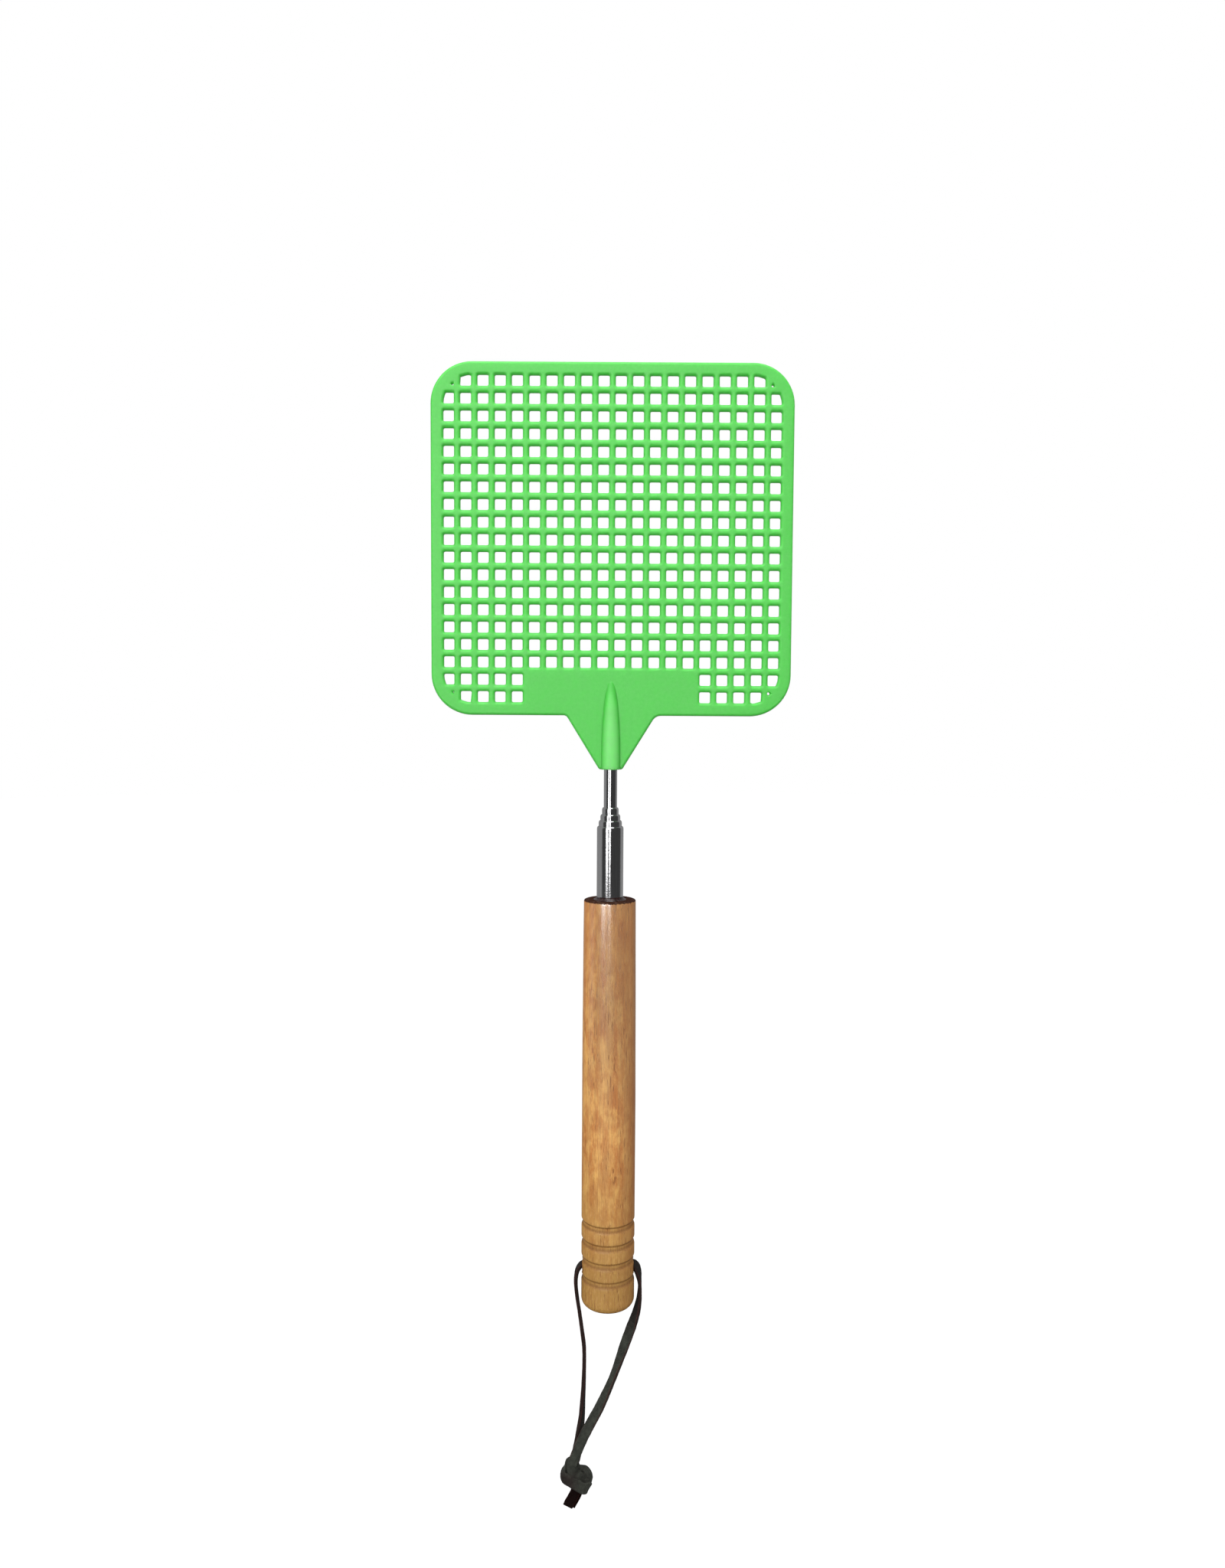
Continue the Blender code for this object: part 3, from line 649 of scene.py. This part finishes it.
def lathe_mesh(profile, segments, closed=True):
    """A bmesh turned about Z from (radius, height) points. A closed profile makes a ring."""
    bm = bmesh.new()
    verts = [bm.verts.new((radius, 0.0, height)) for radius, height in profile]
    pairs = list(zip(verts, verts[1:]))
    if closed:
        pairs.append((verts[-1], verts[0]))
    edges = [bm.edges.new(pair) for pair in pairs]
    bmesh.ops.spin(
        bm,
        geom=verts + edges,
        cent=(0, 0, 0),
        axis=(0, 0, 1),
        angle=math.tau,
        steps=segments,
        use_merge=True,
    )
    bmesh.ops.remove_doubles(bm, verts=bm.verts, dist=1e-7)
    return bm


def apply_boolean(obj, guide, operation, solver="EXACT"):
    """Cuts or joins for good, then removes the guide."""
    modifier = obj.modifiers.new("shape", "BOOLEAN")
    modifier.operation = operation
    modifier.solver = solver
    modifier.object = guide
    graph = bpy.context.evaluated_depsgraph_get()
    made = bpy.data.meshes.new_from_object(obj.evaluated_get(graph))
    obj.modifiers.clear()
    obj.data = made
    bpy.data.objects.remove(guide)


def weigh_normals(obj):
    """Lets the large flat faces set the shading, so that the rounded edges beside them blend in cleanly."""
    modifier = obj.modifiers.new("shade", "WEIGHTED_NORMAL")
    modifier.mode = "FACE_AREA"
    modifier.keep_sharp = True
    modifier.weight = 100
    graph = bpy.context.evaluated_depsgraph_get()
    made = bpy.data.meshes.new_from_object(obj.evaluated_get(graph))
    obj.modifiers.clear()
    obj.data = made


# Lanyard


def spline(rows):
    """Points every THONG_STEP along a smooth curve through the rows. The first three values are a place."""
    rows = np.array(rows, float)
    padded = np.vstack([2 * rows[0] - rows[1], rows, 2 * rows[-1] - rows[-2]])
    fine = []
    for p, q, r, s in zip(padded, padded[1:], padded[2:], padded[3:]):
        for t in np.linspace(0, 1, 24, endpoint=False):
            even = 2 * q + (r - p) * t
            fine.append(0.5 * (even + (2 * p - 5 * q + 4 * r - s) * t**2 + (3 * q - p - 3 * r + s) * t**3))
    fine.append(rows[-1])
    fine = np.array(fine)
    along = np.concatenate([[0], np.cumsum(np.linalg.norm(np.diff(fine[:, :3], axis=0), axis=1))])
    count = max(2, round(along[-1] / THONG_STEP))
    reached = np.linspace(0, along[-1], count + 1)
    return np.stack([np.interp(reached, along, fine[:, k]) for k in range(fine.shape[1])], axis=1)


def facing_from_twist(points, twists):
    """The way the thong's flat side faces, turned about the route from straight out to the front."""
    facing = []
    tangents = np.gradient(points, axis=0)
    for tangent, twist in zip(tangents, twists):
        t = Vector(tangent).normalized()
        front = Vector((0.0, -1.0, 0.0))
        front = (front - t * front.dot(t)).normalized()
        turn = math.radians(twist)
        facing.append(front * math.cos(turn) + t.cross(front) * math.sin(turn))
    return np.array(facing)


def strand_route(route, twists):
    """A strand's places and the way its flat side faces at each of them."""
    strand = spline([(*point, twist) for point, twist in zip(route, twists)])
    return strand[:, :3], facing_from_twist(strand[:, :3], strand[:, 3])


def knot_route(start, layer):
    """One of the two thongs through the knot and out to its tip, from where its strand ends."""
    centre = np.array(KNOT_MIDDLE)
    first = np.append((start[0] - centre[0], 0.0, start[2] - centre[2]), (0.0, -1.0, 0.0))
    rows = np.array(KNOT_ROUTE) * (0.001, 0.001, 0.001, 1, 1, 1)
    path = spline(np.vstack([first, rows]))
    facing = path[:, 3:] / np.linalg.norm(path[:, 3:], axis=1)[:, None]
    tangents = np.gradient(path[:, :3], axis=0)
    sideways = np.cross(tangents / np.linalg.norm(tangents, axis=1)[:, None], facing)
    joined = np.interp(np.arange(len(path)), [0, JOIN_STEPS], [0.0, 1.0])
    apart = abs(start[1] - centre[1]) * (1 - joined) + LAYER_SPACING * joined
    aside = sideways * (joined * LAYER_SHIFT * layer)[:, None]
    return path[:, :3] + facing * (apart * layer)[:, None] + aside + centre, facing


def ribbon_mesh(points, facing, wear, slim=(1.0, 1.0), cut=0.0):
    """
    A flat thong with rounded edges swept along the points, slightly uneven, closed at both ends.
    Its ends may be slimmer, to slip inside the next piece, and the last one may be cut askew.
    """
    sides = 20
    bm = bmesh.new()
    edge = bm.verts.layers.float.new("cut_edge")
    tangents = np.gradient(points, axis=0)
    last = len(points) - 1
    seams = [0, SEAM_STEPS, last - SEAM_STEPS, last]
    size = np.interp(np.arange(last + 1), seams, [slim[0], 1.0, 1.0, slim[1]])
    rings = []
    for i, (point, tangent, front) in enumerate(zip(points, tangents, facing)):
        t = Vector(tangent).normalized()
        n = Vector(front)
        n = (n - t * n.dot(t)).normalized()
        w = t.cross(n)
        here = Vector(point)
        width = size[i] * THONG_WIDTH / 2 * (1 + wear * noise.noise(here * 900))
        depth = size[i] * THONG_THICKNESS / 2 * (1 + wear * noise.noise(here * 700 + Vector((5, 5, 5))))
        skew = cut if i == last else 0.0
        ring = []
        for k in range(sides):
            angle = math.tau * (k + 0.5) / sides
            across = math.copysign(abs(math.cos(angle)) ** 0.28, math.cos(angle))
            through = math.copysign(abs(math.sin(angle)) ** 0.35, math.sin(angle))
            vert = bm.verts.new(here + w * (width * across) + n * (depth * through) + t * (skew * across))
            vert[edge] = max(0.0, (abs(across) - 0.93) / 0.07)
            ring.append(vert)
        rings.append(ring)
    for a, b in zip(rings, rings[1:]):
        for k in range(sides):
            bm.faces.new((a[k], a[(k + 1) % sides], b[(k + 1) % sides], b[k]))
    bm.faces.new(rings[0])
    bm.faces.new(rings[-1])
    return bm


def mark_light_and_tip(obj, shade):
    """Keeps with each point how the leather's light is painted there: -1 is fresh and dark, at the tips, 0
    is painted shade and 1 is painted pale light.
    """
    painted_light_and_tip = obj.data.attributes.new("painted_light_and_tip", "FLOAT", "POINT")
    for vert in obj.data.vertices:
        painted_light_and_tip.data[vert.index].value = shade(vert.co)


def remeshed(obj, voxel, passes):
    """Turns a piece made of overlapping bodies into one closed skin, a little softened."""
    skin = obj.modifiers.new("skin", "REMESH")
    skin.mode = "VOXEL"
    skin.voxel_size = voxel
    soften = obj.modifiers.new("soften", "SMOOTH")
    soften.iterations = passes
    graph = bpy.context.evaluated_depsgraph_get()
    made = bpy.data.meshes.new_from_object(obj.evaluated_get(graph))
    obj.modifiers.clear()
    obj.data = made
    made.shade_smooth()


def knot_light_and_tip(point):
    """The knot is painted pale at its top and right where light falls, painted dark with shade at its left,
    and fresh where the tails leave it.
    """
    low = float(np.interp(-point.z, [0.1210, 0.1245], [1.0, -1.0]))
    left = float(np.interp(point.x, [-0.0115, -0.0085], [-0.25, 0.85]))
    high = float(np.interp(point.z, [-0.1172, -0.1152], [0.0, 0.95]))
    return min(low, max(left, high))


def build_lanyard(leather):
    """Two strands of one thong, their knot and their tails."""
    knot_parts = bmesh.new()
    made = {}
    tail_count = round(TAIL_LENGTH / THONG_STEP)
    # How much painted light each strand gets along its length: painted shade higher up, painted pale light
    # lower down.
    strand_lighting = {
        "right": lambda point: float(np.interp(-point.z, RIGHT_LIGHTING, [0.0, 1.0])),
        "left": lambda point: float(np.interp(-point.z, LEFT_LIGHTING, [0.0, 0.8])),
    }
    sides = (("right", RIGHT_ROUTE, RIGHT_TWIST, 1), ("left", LEFT_ROUTE, LEFT_TWIST, -1))
    for side, route, twists, layer in sides:
        strand, facing = strand_route(route, twists)
        knot, flat = knot_route(strand[-1], layer)
        on = np.vstack([strand, knot[1:SEAM_STEPS]])
        on_facing = np.vstack([facing, flat[1:SEAM_STEPS]])
        made[side] = add_mesh(f"lanyard_{side}_cord", ribbon_mesh(on, on_facing, 0.05), leather, 60)
        mark_light_and_tip(made[side], strand_lighting[side])
        place(made[side], "lanyard", "leather", f"lanyard_{side}_strand")
        last = len(knot) if layer < 0 else len(knot) - 1
        end = last - tail_count
        wrapped = ribbon_mesh(knot[:end], flat[:end], 0.08, slim=(0.88, 0.88))
        part = bpy.data.meshes.new("part")
        wrapped.to_mesh(part)
        wrapped.free()
        knot_parts.from_mesh(part)
        bpy.data.meshes.remove(part)
        start = end - SEAM_STEPS
        tail = ribbon_mesh(knot[start:last], flat[start:last], 0.05, cut=-0.0003 - layer * 0.00015)
        made[side + "_tail"] = add_mesh(f"lanyard_{side}_tip", tail, leather, 60)
        mark_light_and_tip(made[side + "_tail"], lambda point: -1.0)
        place(made[side + "_tail"], "lanyard", "leather", f"lanyard_{side}_tail")
    knot = add_mesh("lanyard_overhand_knot", knot_parts, leather, 60)
    remeshed(knot, KNOT_VOXEL, 3)
    mark_light_and_tip(knot, knot_light_and_tip)
    place(knot, "lanyard", "leather", "lanyard_knot")


# Flap


def fillet(corner, before, after, radius):
    """Rounds a corner of an outline with an arc that touches both of its sides."""
    corner = Vector(corner)
    a = (Vector(before) - corner).normalized()
    b = (Vector(after) - corner).normalized()
    half = a.angle(b) / 2
    centre = corner + (a + b).normalized() * (radius / math.sin(half))
    start = corner + a * (radius / math.tan(half)) - centre
    sweep = start.angle_signed(corner + b * (radius / math.tan(half)) - centre)
    steps = max(3, round(abs(math.degrees(sweep)) / 12))
    return [tuple(centre + Matrix.Rotation(-sweep * i / steps, 2) @ start) for i in range(steps + 1)]


def rounded(polygon, radius):
    """The polygon with every corner rounded, less where its sides are short."""
    points = []
    count = len(polygon)
    for i, corner in enumerate(polygon):
        before = polygon[i - 1]
        after = polygon[(i + 1) % count]
        room = min(math.dist(corner, before), math.dist(corner, after)) * 0.45
        a = (Vector(before) - Vector(corner)).normalized()
        b = (Vector(after) - Vector(corner)).normalized()
        half = a.angle(b) / 2
        if half > math.radians(80):
            points.append(corner)
            continue
        points += fillet(corner, before, after, min(radius, room * math.tan(half)))
    return points


def rounded_rectangle(half_width, low_z, high_z, radius, steps):
    """Points of an upright rectangle with round corners, anticlockwise from the lower right one."""
    x = half_width - radius
    points = arc((x, low_z + radius), radius, -90, 0, steps)
    points += arc((x, high_z - radius), radius, 0, 90, steps)
    points += arc((-x, high_z - radius), radius, 90, 180, steps)
    points += arc((-x, low_z + radius), radius, 180, 270, steps)
    return points


def flap_outline():
    half_width = FLAP_HIGH.x
    foot = {side: (side * NECK_HALF_WIDTH, FLAP_LOW.z) for side in (-1, 1)}
    root = {side: (side * NECK_TOP_HALF_WIDTH, FLAP_BOTTOM_Z) for side in (-1, 1)}
    edge = {side: (side * half_width, FLAP_BOTTOM_Z) for side in (-1, 1)}
    outline = fillet(foot[1], foot[-1], root[1], NECK_FOOT_ROUND)
    outline += fillet(root[1], foot[1], edge[1], NECK_FILLETS[1])
    outline += rounded_rectangle(half_width, FLAP_BOTTOM_Z, FLAP_HIGH.z, CORNER_RADIUS, 16)
    outline += fillet(root[-1], edge[-1], foot[-1], NECK_FILLETS[-1])
    outline += fillet(foot[-1], root[-1], foot[1], NECK_FOOT_ROUND)
    return outline


def clip_to(region, polygon):
    """The part of a polygon that lies inside a convex region whose points run anticlockwise."""
    for start, end in zip(region, region[1:] + region[:1]):
        kept = []
        for a, b in zip(polygon, polygon[1:] + polygon[:1]):
            side = []
            for point in (a, b):
                along = (end[0] - start[0]) * (point[1] - start[1])
                side.append(along - (end[1] - start[1]) * (point[0] - start[0]))
            if side[0] >= 0:
                kept.append(a)
            if (side[0] >= 0) != (side[1] >= 0):
                share = side[0] / (side[0] - side[1])
                kept.append((a[0] + (b[0] - a[0]) * share, a[1] + (b[1] - a[1]) * share))
        polygon = kept
        if not polygon:
            return []
    return polygon


def area_of(polygon):
    total = 0.0
    for a, b in zip(polygon, polygon[1:] + polygon[:1]):
        total += a[0] * b[1] - a[1] * b[0]
    return total / 2


def without_repeats(polygon):
    """The polygon without points that fall on the one before."""
    return [p for i, p in enumerate(polygon) if math.dist(p, polygon[i - 1]) > 0.00008]


def grown(loop, distance):
    """The loop with every point moved to its right by a distance, square to the loop."""
    moved = []
    count = len(loop)
    for i, point in enumerate(loop):
        along = Vector(point) - Vector(loop[i - 1])
        onward = Vector(loop[(i + 1) % count]) - Vector(point)
        first = Vector((along.y, -along.x)).normalized()
        second = Vector((onward.y, -onward.x)).normalized()
        middle = (first + second).normalized()
        moved.append(tuple(Vector(point) + middle * (distance / max(0.5, middle.dot(first)))))
    return moved


def flap_holes():
    """
    Round-cornered square holes, each a little uneven, trimmed by the rounded inside of the rim.
    Each is a pair of loops, its mouth on the faces and its throat half way through.
    """
    region = rounded_rectangle(
        FLAP_HIGH.x - RIM_WIDTH, FLAP_BOTTOM_Z + RIM_WIDTH, FLAP_HIGH.z - RIM_WIDTH, RIM_INNER_RADIUS, 8
    )
    region = without_repeats(region)
    holes = []
    for row in range(HOLE_ROWS):
        for column in range(HOLE_COLUMNS):
            if row in SOLID_ROWS and column in SOLID_COLUMNS:
                continue
            x = (column - (HOLE_COLUMNS - 1) / 2) * COLUMN_PITCH + RANDOM.gauss(0, HOLE_UNEVEN)
            z = TOP_ROW_Z - row * ROW_PITCH + RANDOM.gauss(0, HOLE_UNEVEN)
            half = HOLE_SIZE / 2 + RANDOM.gauss(0, HOLE_UNEVEN)
            square = [(x + a * half, z + b * half) for a, b in ((-1, -1), (1, -1), (1, 1), (-1, 1))]
            hole = without_repeats(clip_to(region, square))
            if len(hole) < 3 or area_of(hole) < HOLE_SIZE**2 * 0.02:
                continue
            loop = without_repeats(rounded(hole, HOLE_CORNER))
            if (row, column) in PINHOLES:
                middle = sum((Vector(point) for point in loop), Vector((0.0, 0.0))) / len(loop)
                radius = PINHOLES[row, column]
                throat = [tuple(middle + (Vector(point) - middle).normalized() * radius) for point in loop]
                holes.append((grown(loop, DIMPLE_EDGE), throat))
            else:
                holes.append((grown(loop, EDGE_WIDTH), loop))
    return holes


def sheet_mesh(loops):
    """
    A flat sheet with rounded edges, from pairs of loops on the faces and half way through.
    The first pair is its outline, run clockwise, and the rest are holes.
    """
    levels = []
    for i in range(EDGE_STEPS + 1):
        angle = math.pi / 2 * i / EDGE_STEPS
        levels.append((math.sin(angle), -(SHEET_THICKNESS / 2 - EDGE_DEPTH + EDGE_DEPTH * math.cos(angle))))
    levels += [(share, -y) for share, y in reversed(levels)]
    bm = bmesh.new()
    rings = [[], []]
    flat = []
    owner = []
    edges = []
    for number, (mouth, throat) in enumerate(loops):
        start = len(flat)
        count = len(mouth)
        made = []
        for share, y in levels:
            ring = []
            for wide, narrow in zip(mouth, throat):
                x, z = Vector(wide).lerp(Vector(narrow), share)
                ring.append(bm.verts.new((x, y, z)))
            made.append(ring)
        for a, b in zip(made, made[1:]):
            for k in range(count):
                bm.faces.new((a[k], a[(k + 1) % count], b[(k + 1) % count], b[k]))
        flat += [Vector((v.co.x, v.co.z)) for v in made[0]]
        owner += [number] * count
        edges += [(start + k, start + (k + 1) % count) for k in range(count)]
        rings[0] += made[0]
        rings[1] += made[-1]
    inside_outline = 1
    _, _, faces, sources, _, _ = delaunay_2d_cdt(flat, edges, [], inside_outline, 1e-8)
    for face in faces:
        corners = [sources[v][0] for v in face]
        owners = {owner[v] for v in corners}
        if len(owners) > 1 or owners == {0}:
            for ring in rings:
                bm.faces.new([ring[v] for v in corners])
    return bm


def build_flap(plastic):
    """The moulding: a lattice of rounded bars in its rim, the plate and neck, and the rod's socket."""
    outline = flap_outline()[::-1]
    bm = sheet_mesh([(grown(outline, EDGE_WIDTH), outline), *flap_holes()])
    flap = add_mesh("flap_moulding", bm, plastic)

    foot = SOCKET_FOOT_ROUND
    profile = [(0.0, FLAP_LOW.z)]
    profile += arc((SOCKET_RADIUS - foot, FLAP_LOW.z + foot), foot, -90, 0, 5)
    for i in range(1, SOCKET_RINGS + 1):
        share = math.sin(math.pi / 2 * i / SOCKET_RINGS)
        radius = SOCKET_RADIUS * math.sqrt(max(0.0, 1 - share**SOCKET_TAPER))
        height = FLAP_LOW.z + (SOCKET_TIP_Z - FLAP_LOW.z) * share
        if height > profile[-1][1]:
            profile.append((radius, height))
    socket = add_mesh("socket_form", lathe_mesh(profile, 64, closed=False), None)
    apply_boolean(flap, socket, "UNION", "MANIFOLD")
    bore_radius = TUBE_DIAMETERS[-1] / 2 + SOCKET_BORE_CLEARANCE
    bore_top_z = FLAP_LOW.z + SOCKET_BORE_DEPTH
    below_z = FLAP_LOW.z - 0.002
    profile = [(0.0, below_z), (bore_radius, below_z), (bore_radius, bore_top_z), (0.0, bore_top_z)]
    bore = add_mesh("bore_form", lathe_mesh(profile, 64, closed=False), None)
    apply_boolean(flap, bore, "DIFFERENCE", "MANIFOLD")
    flap.data.shade_smooth()
    flap.data.set_sharp_from_angle(angle=math.radians(38))
    weigh_normals(flap)
    place(flap, "tip_section", "flap_plastic", "swatter_flap")


# Rod


def foot_profile(outside, bottom_z):
    """The two rolled beads at a sliding tube's foot, with the shims' seat between them."""
    seat_z = bottom_z + BEAD_HEIGHT
    top_z = seat_z + SHIM_SEAT
    rise = BEAD_HEIGHT / 2
    points = []
    for z in (bottom_z, top_z):
        for i in range(9):
            angle = math.pi * i / 8
            points.append((outside + BEAD_RISE * math.sin(angle), z + rise - rise * math.cos(angle)))
    return points


def mouth_profile(outside, top_z, guided):
    """The swaged mouth: a round shoulder down to a lip that closes on the next tube."""
    bore = guided + SWAGE_CLEARANCE
    lip = bore + TUBE_WALL * 0.3
    drop = outside - lip
    points = [(outside, top_z - SWAGE_LENGTH * 1.3)]
    for i in range(13):
        angle = math.pi / 2 * i / 12
        points.append((lip + drop * math.cos(angle), top_z - SHOULDER_HEIGHT * (1 - math.sin(angle))))
    points += [(bore, top_z - 0.00003), (bore, top_z - SWAGE_LENGTH * 0.6)]
    points.append((outside - TUBE_WALL, top_z - SWAGE_LENGTH))
    return points


def build_rod(steel):
    for index, name in enumerate(TUBE_NAMES):
        low, high = TUBE_BOXES[index]
        outside = TUBE_DIAMETERS[index] / 2
        inside = outside - TUBE_WALL
        profile = foot_profile(outside, low.z) if index else [(outside, low.z)]
        if index < len(TUBE_NAMES) - 1:
            profile += mouth_profile(outside, high.z, TUBE_DIAMETERS[index + 1] / 2)
        else:
            profile += [(outside, high.z - TIP_CHAMFER), (outside - TIP_CHAMFER, high.z), (inside, high.z)]
        profile.append((inside, low.z))
        tube = add_mesh(f"{name}_drawn", lathe_mesh(profile, 96), steel, 40)
        place(tube, TUBE_BODIES[index], "steel", name)


# Handle


def groove_dip(z):
    """How far a turned groove cuts in at a height, as a share of its depth."""
    dip = 0.0
    for i in range(GROOVE_COUNT):
        off = abs(z - (FIRST_GROOVE_Z - i * GROOVE_PITCH)) / GROOVE_HALF_WIDTH
        if off < 1.25:
            depth = 0.8 if i == GROOVE_COUNT - 1 else 1.0
            dip = max(dip, depth * (0.5 + 0.5 * math.cos(math.pi * min(1.0, (off / 1.25) ** 1.6))))
    return dip


def handle_radius(z):
    top = HANDLE_HIGH.z
    share = max(0.0, z) / top
    return HANDLE_RADIUS - (HANDLE_RADIUS - HANDLE_NECK_RADIUS) * share**1.5 - GROOVE_DEPTH * groove_dip(z)


def build_handle(wood):
    """Turned handle with rounded groove lips, a bored top, a cross hole and slight tool unevenness."""
    butt_z = HANDLE_LOW.z
    top_z = HANDLE_HIGH.z
    inner = HANDLE_RADIUS - BUTT_ROUND
    profile = [(0.0, butt_z), (inner * 0.5, butt_z)]
    profile += arc((inner, butt_z + BUTT_ROUND), BUTT_ROUND, -90, 0, 14)
    z = butt_z + BUTT_ROUND + 0.0003
    last_groove_top = FIRST_GROOVE_Z + GROOVE_HALF_WIDTH * 2
    while z < top_z - HANDLE_TOP_EDGE:
        profile.append((handle_radius(z), z))
        z += 0.00014 if groove_dip(z) > 0 else 0.0004 if z < last_groove_top else 0.0015
    edge = HANDLE_TOP_EDGE
    profile += arc((HANDLE_NECK_RADIUS - edge, top_z - edge), edge, 0, 90, 6)
    profile += [(BORE_RADIUS + BORE_CHAMFER, top_z), (BORE_RADIUS, top_z - BORE_CHAMFER)]
    profile += [(BORE_RADIUS, BORE_BOTTOM_Z), (0.0, BORE_BOTTOM_Z)]
    bm = lathe_mesh(profile, 120, closed=False)
    for vert in bm.verts:
        radius = math.hypot(vert.co.x, vert.co.y)
        if radius > HANDLE_RADIUS * 0.85:
            swell = noise.noise(Vector((vert.co.x * 60, vert.co.y * 60, vert.co.z * 45)))
            push = 1 + WOOD_SWELL * swell / radius
            vert.co.x *= push
            vert.co.y *= push
    handle = add_mesh("handle_turned", bm, wood, 40)
    half = HANDLE_RADIUS * 1.3
    mouth = LANYARD_HOLE_RADIUS + HOLE_FLARE_WIDTH
    throat = HANDLE_RADIUS - HOLE_FLARE_DEPTH
    flare = [(0.0, -half), (mouth, -half)]
    flare += [(LANYARD_HOLE_RADIUS, -throat), (LANYARD_HOLE_RADIUS, throat)]
    flare += [(mouth, half), (0.0, half)]
    hole = add_mesh("hole_form", lathe_mesh(flare, 40, closed=False), None)
    hole.data.transform(Matrix.Rotation(math.pi / 2, 4, "Y"))
    hole.location.z = LANYARD_HOLE_Z
    bpy.context.view_layer.update()
    apply_boolean(handle, hole, "DIFFERENCE")
    handle.data.shade_smooth()
    handle.data.set_sharp_from_angle(angle=math.radians(40))
    mark_stain_and_shade(handle.data)
    place(handle, "handle", "handle_wood", "handle")


def groove_stain_and_shadow(z):
    """How dark a groove is at a height: a thin painted shadow under its upper lip and a wider brown stain
    above its lower lip.
    """
    value = 0.0
    for i in range(GROOVE_COUNT):
        off = (z - (FIRST_GROOVE_Z - i * GROOVE_PITCH)) / GROOVE_HALF_WIDTH
        upper = math.exp(-(((off - 0.75) / 0.26) ** 2)) * 0.85
        lower = math.exp(-(((off + 0.55) / 0.55) ** 2)) * 0.90
        value = max(value, upper, lower)
    return value


def mark_stain_and_shade(mesh):
    """Marks where the wood is darker: a painted shadow under each groove's upper lip and a brown stain lower
    in it, and darker wood round and inside the holes.
    """
    stain_and_shade = mesh.attributes.new("stain_and_shade", "FLOAT", "POINT")
    for i, vert in enumerate(mesh.vertices):
        x, y, z = vert.co
        radius = math.hypot(x, y)
        near_hole = math.hypot(y, z - LANYARD_HOLE_Z) / LANYARD_HOLE_RADIUS
        value = groove_stain_and_shadow(z)
        if radius < handle_radius(z) * 0.93 and z < HANDLE_HIGH.z - 0.0003:
            value = 0.9
        if near_hole < 1.5:
            value = max(value, 0.9 - max(0.0, near_hole - 1.0))
        stain_and_shade.data[i].value = max(0.0, value)


def build_glue(glue):
    """A concave, slightly lumpy ring of glue round the foot of the rod."""
    inner = TUBE_DIAMETERS[0] / 2 + GLUE_GAP
    foot_z = GLUE_LOW.z - GLUE_SINK
    height = GLUE_HIGH.z - foot_z
    width = GLUE_HIGH.x - inner
    profile = [(inner, foot_z), (inner + width, foot_z)]
    for i in range(1, 11):
        share = i / 10
        profile.append((inner + width * (1 - share) ** GLUE_HOLLOW, foot_z + height * share))
    bm = lathe_mesh(profile, 96)
    for vert in bm.verts:
        lump = 1 + GLUE_LUMPS * noise.noise(vert.co * 420)
        vert.co.z = foot_z + (vert.co.z - foot_z) * min(1.0, lump)
    place(add_mesh("glue_fillet", bm, glue, 50), "handle", "glue", "glue_bead")


def finish_carried_nodes(brass):
    """The plug and the shims keep their CAD shape and get the brass finish."""
    for name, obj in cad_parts.items():
        if name.endswith("_shim") or name == "outer_tube_plug":
            obj.data.materials.clear()
            obj.data.materials.append(brass)


build_camera()
build_lights()
build_world()
build_lanyard(leather_material())
build_flap(plastic_material())
build_rod(steel_material())
build_handle(wood_material())
build_glue(glue_material())
finish_carried_nodes(brass_material())
build_floor(floor_material())
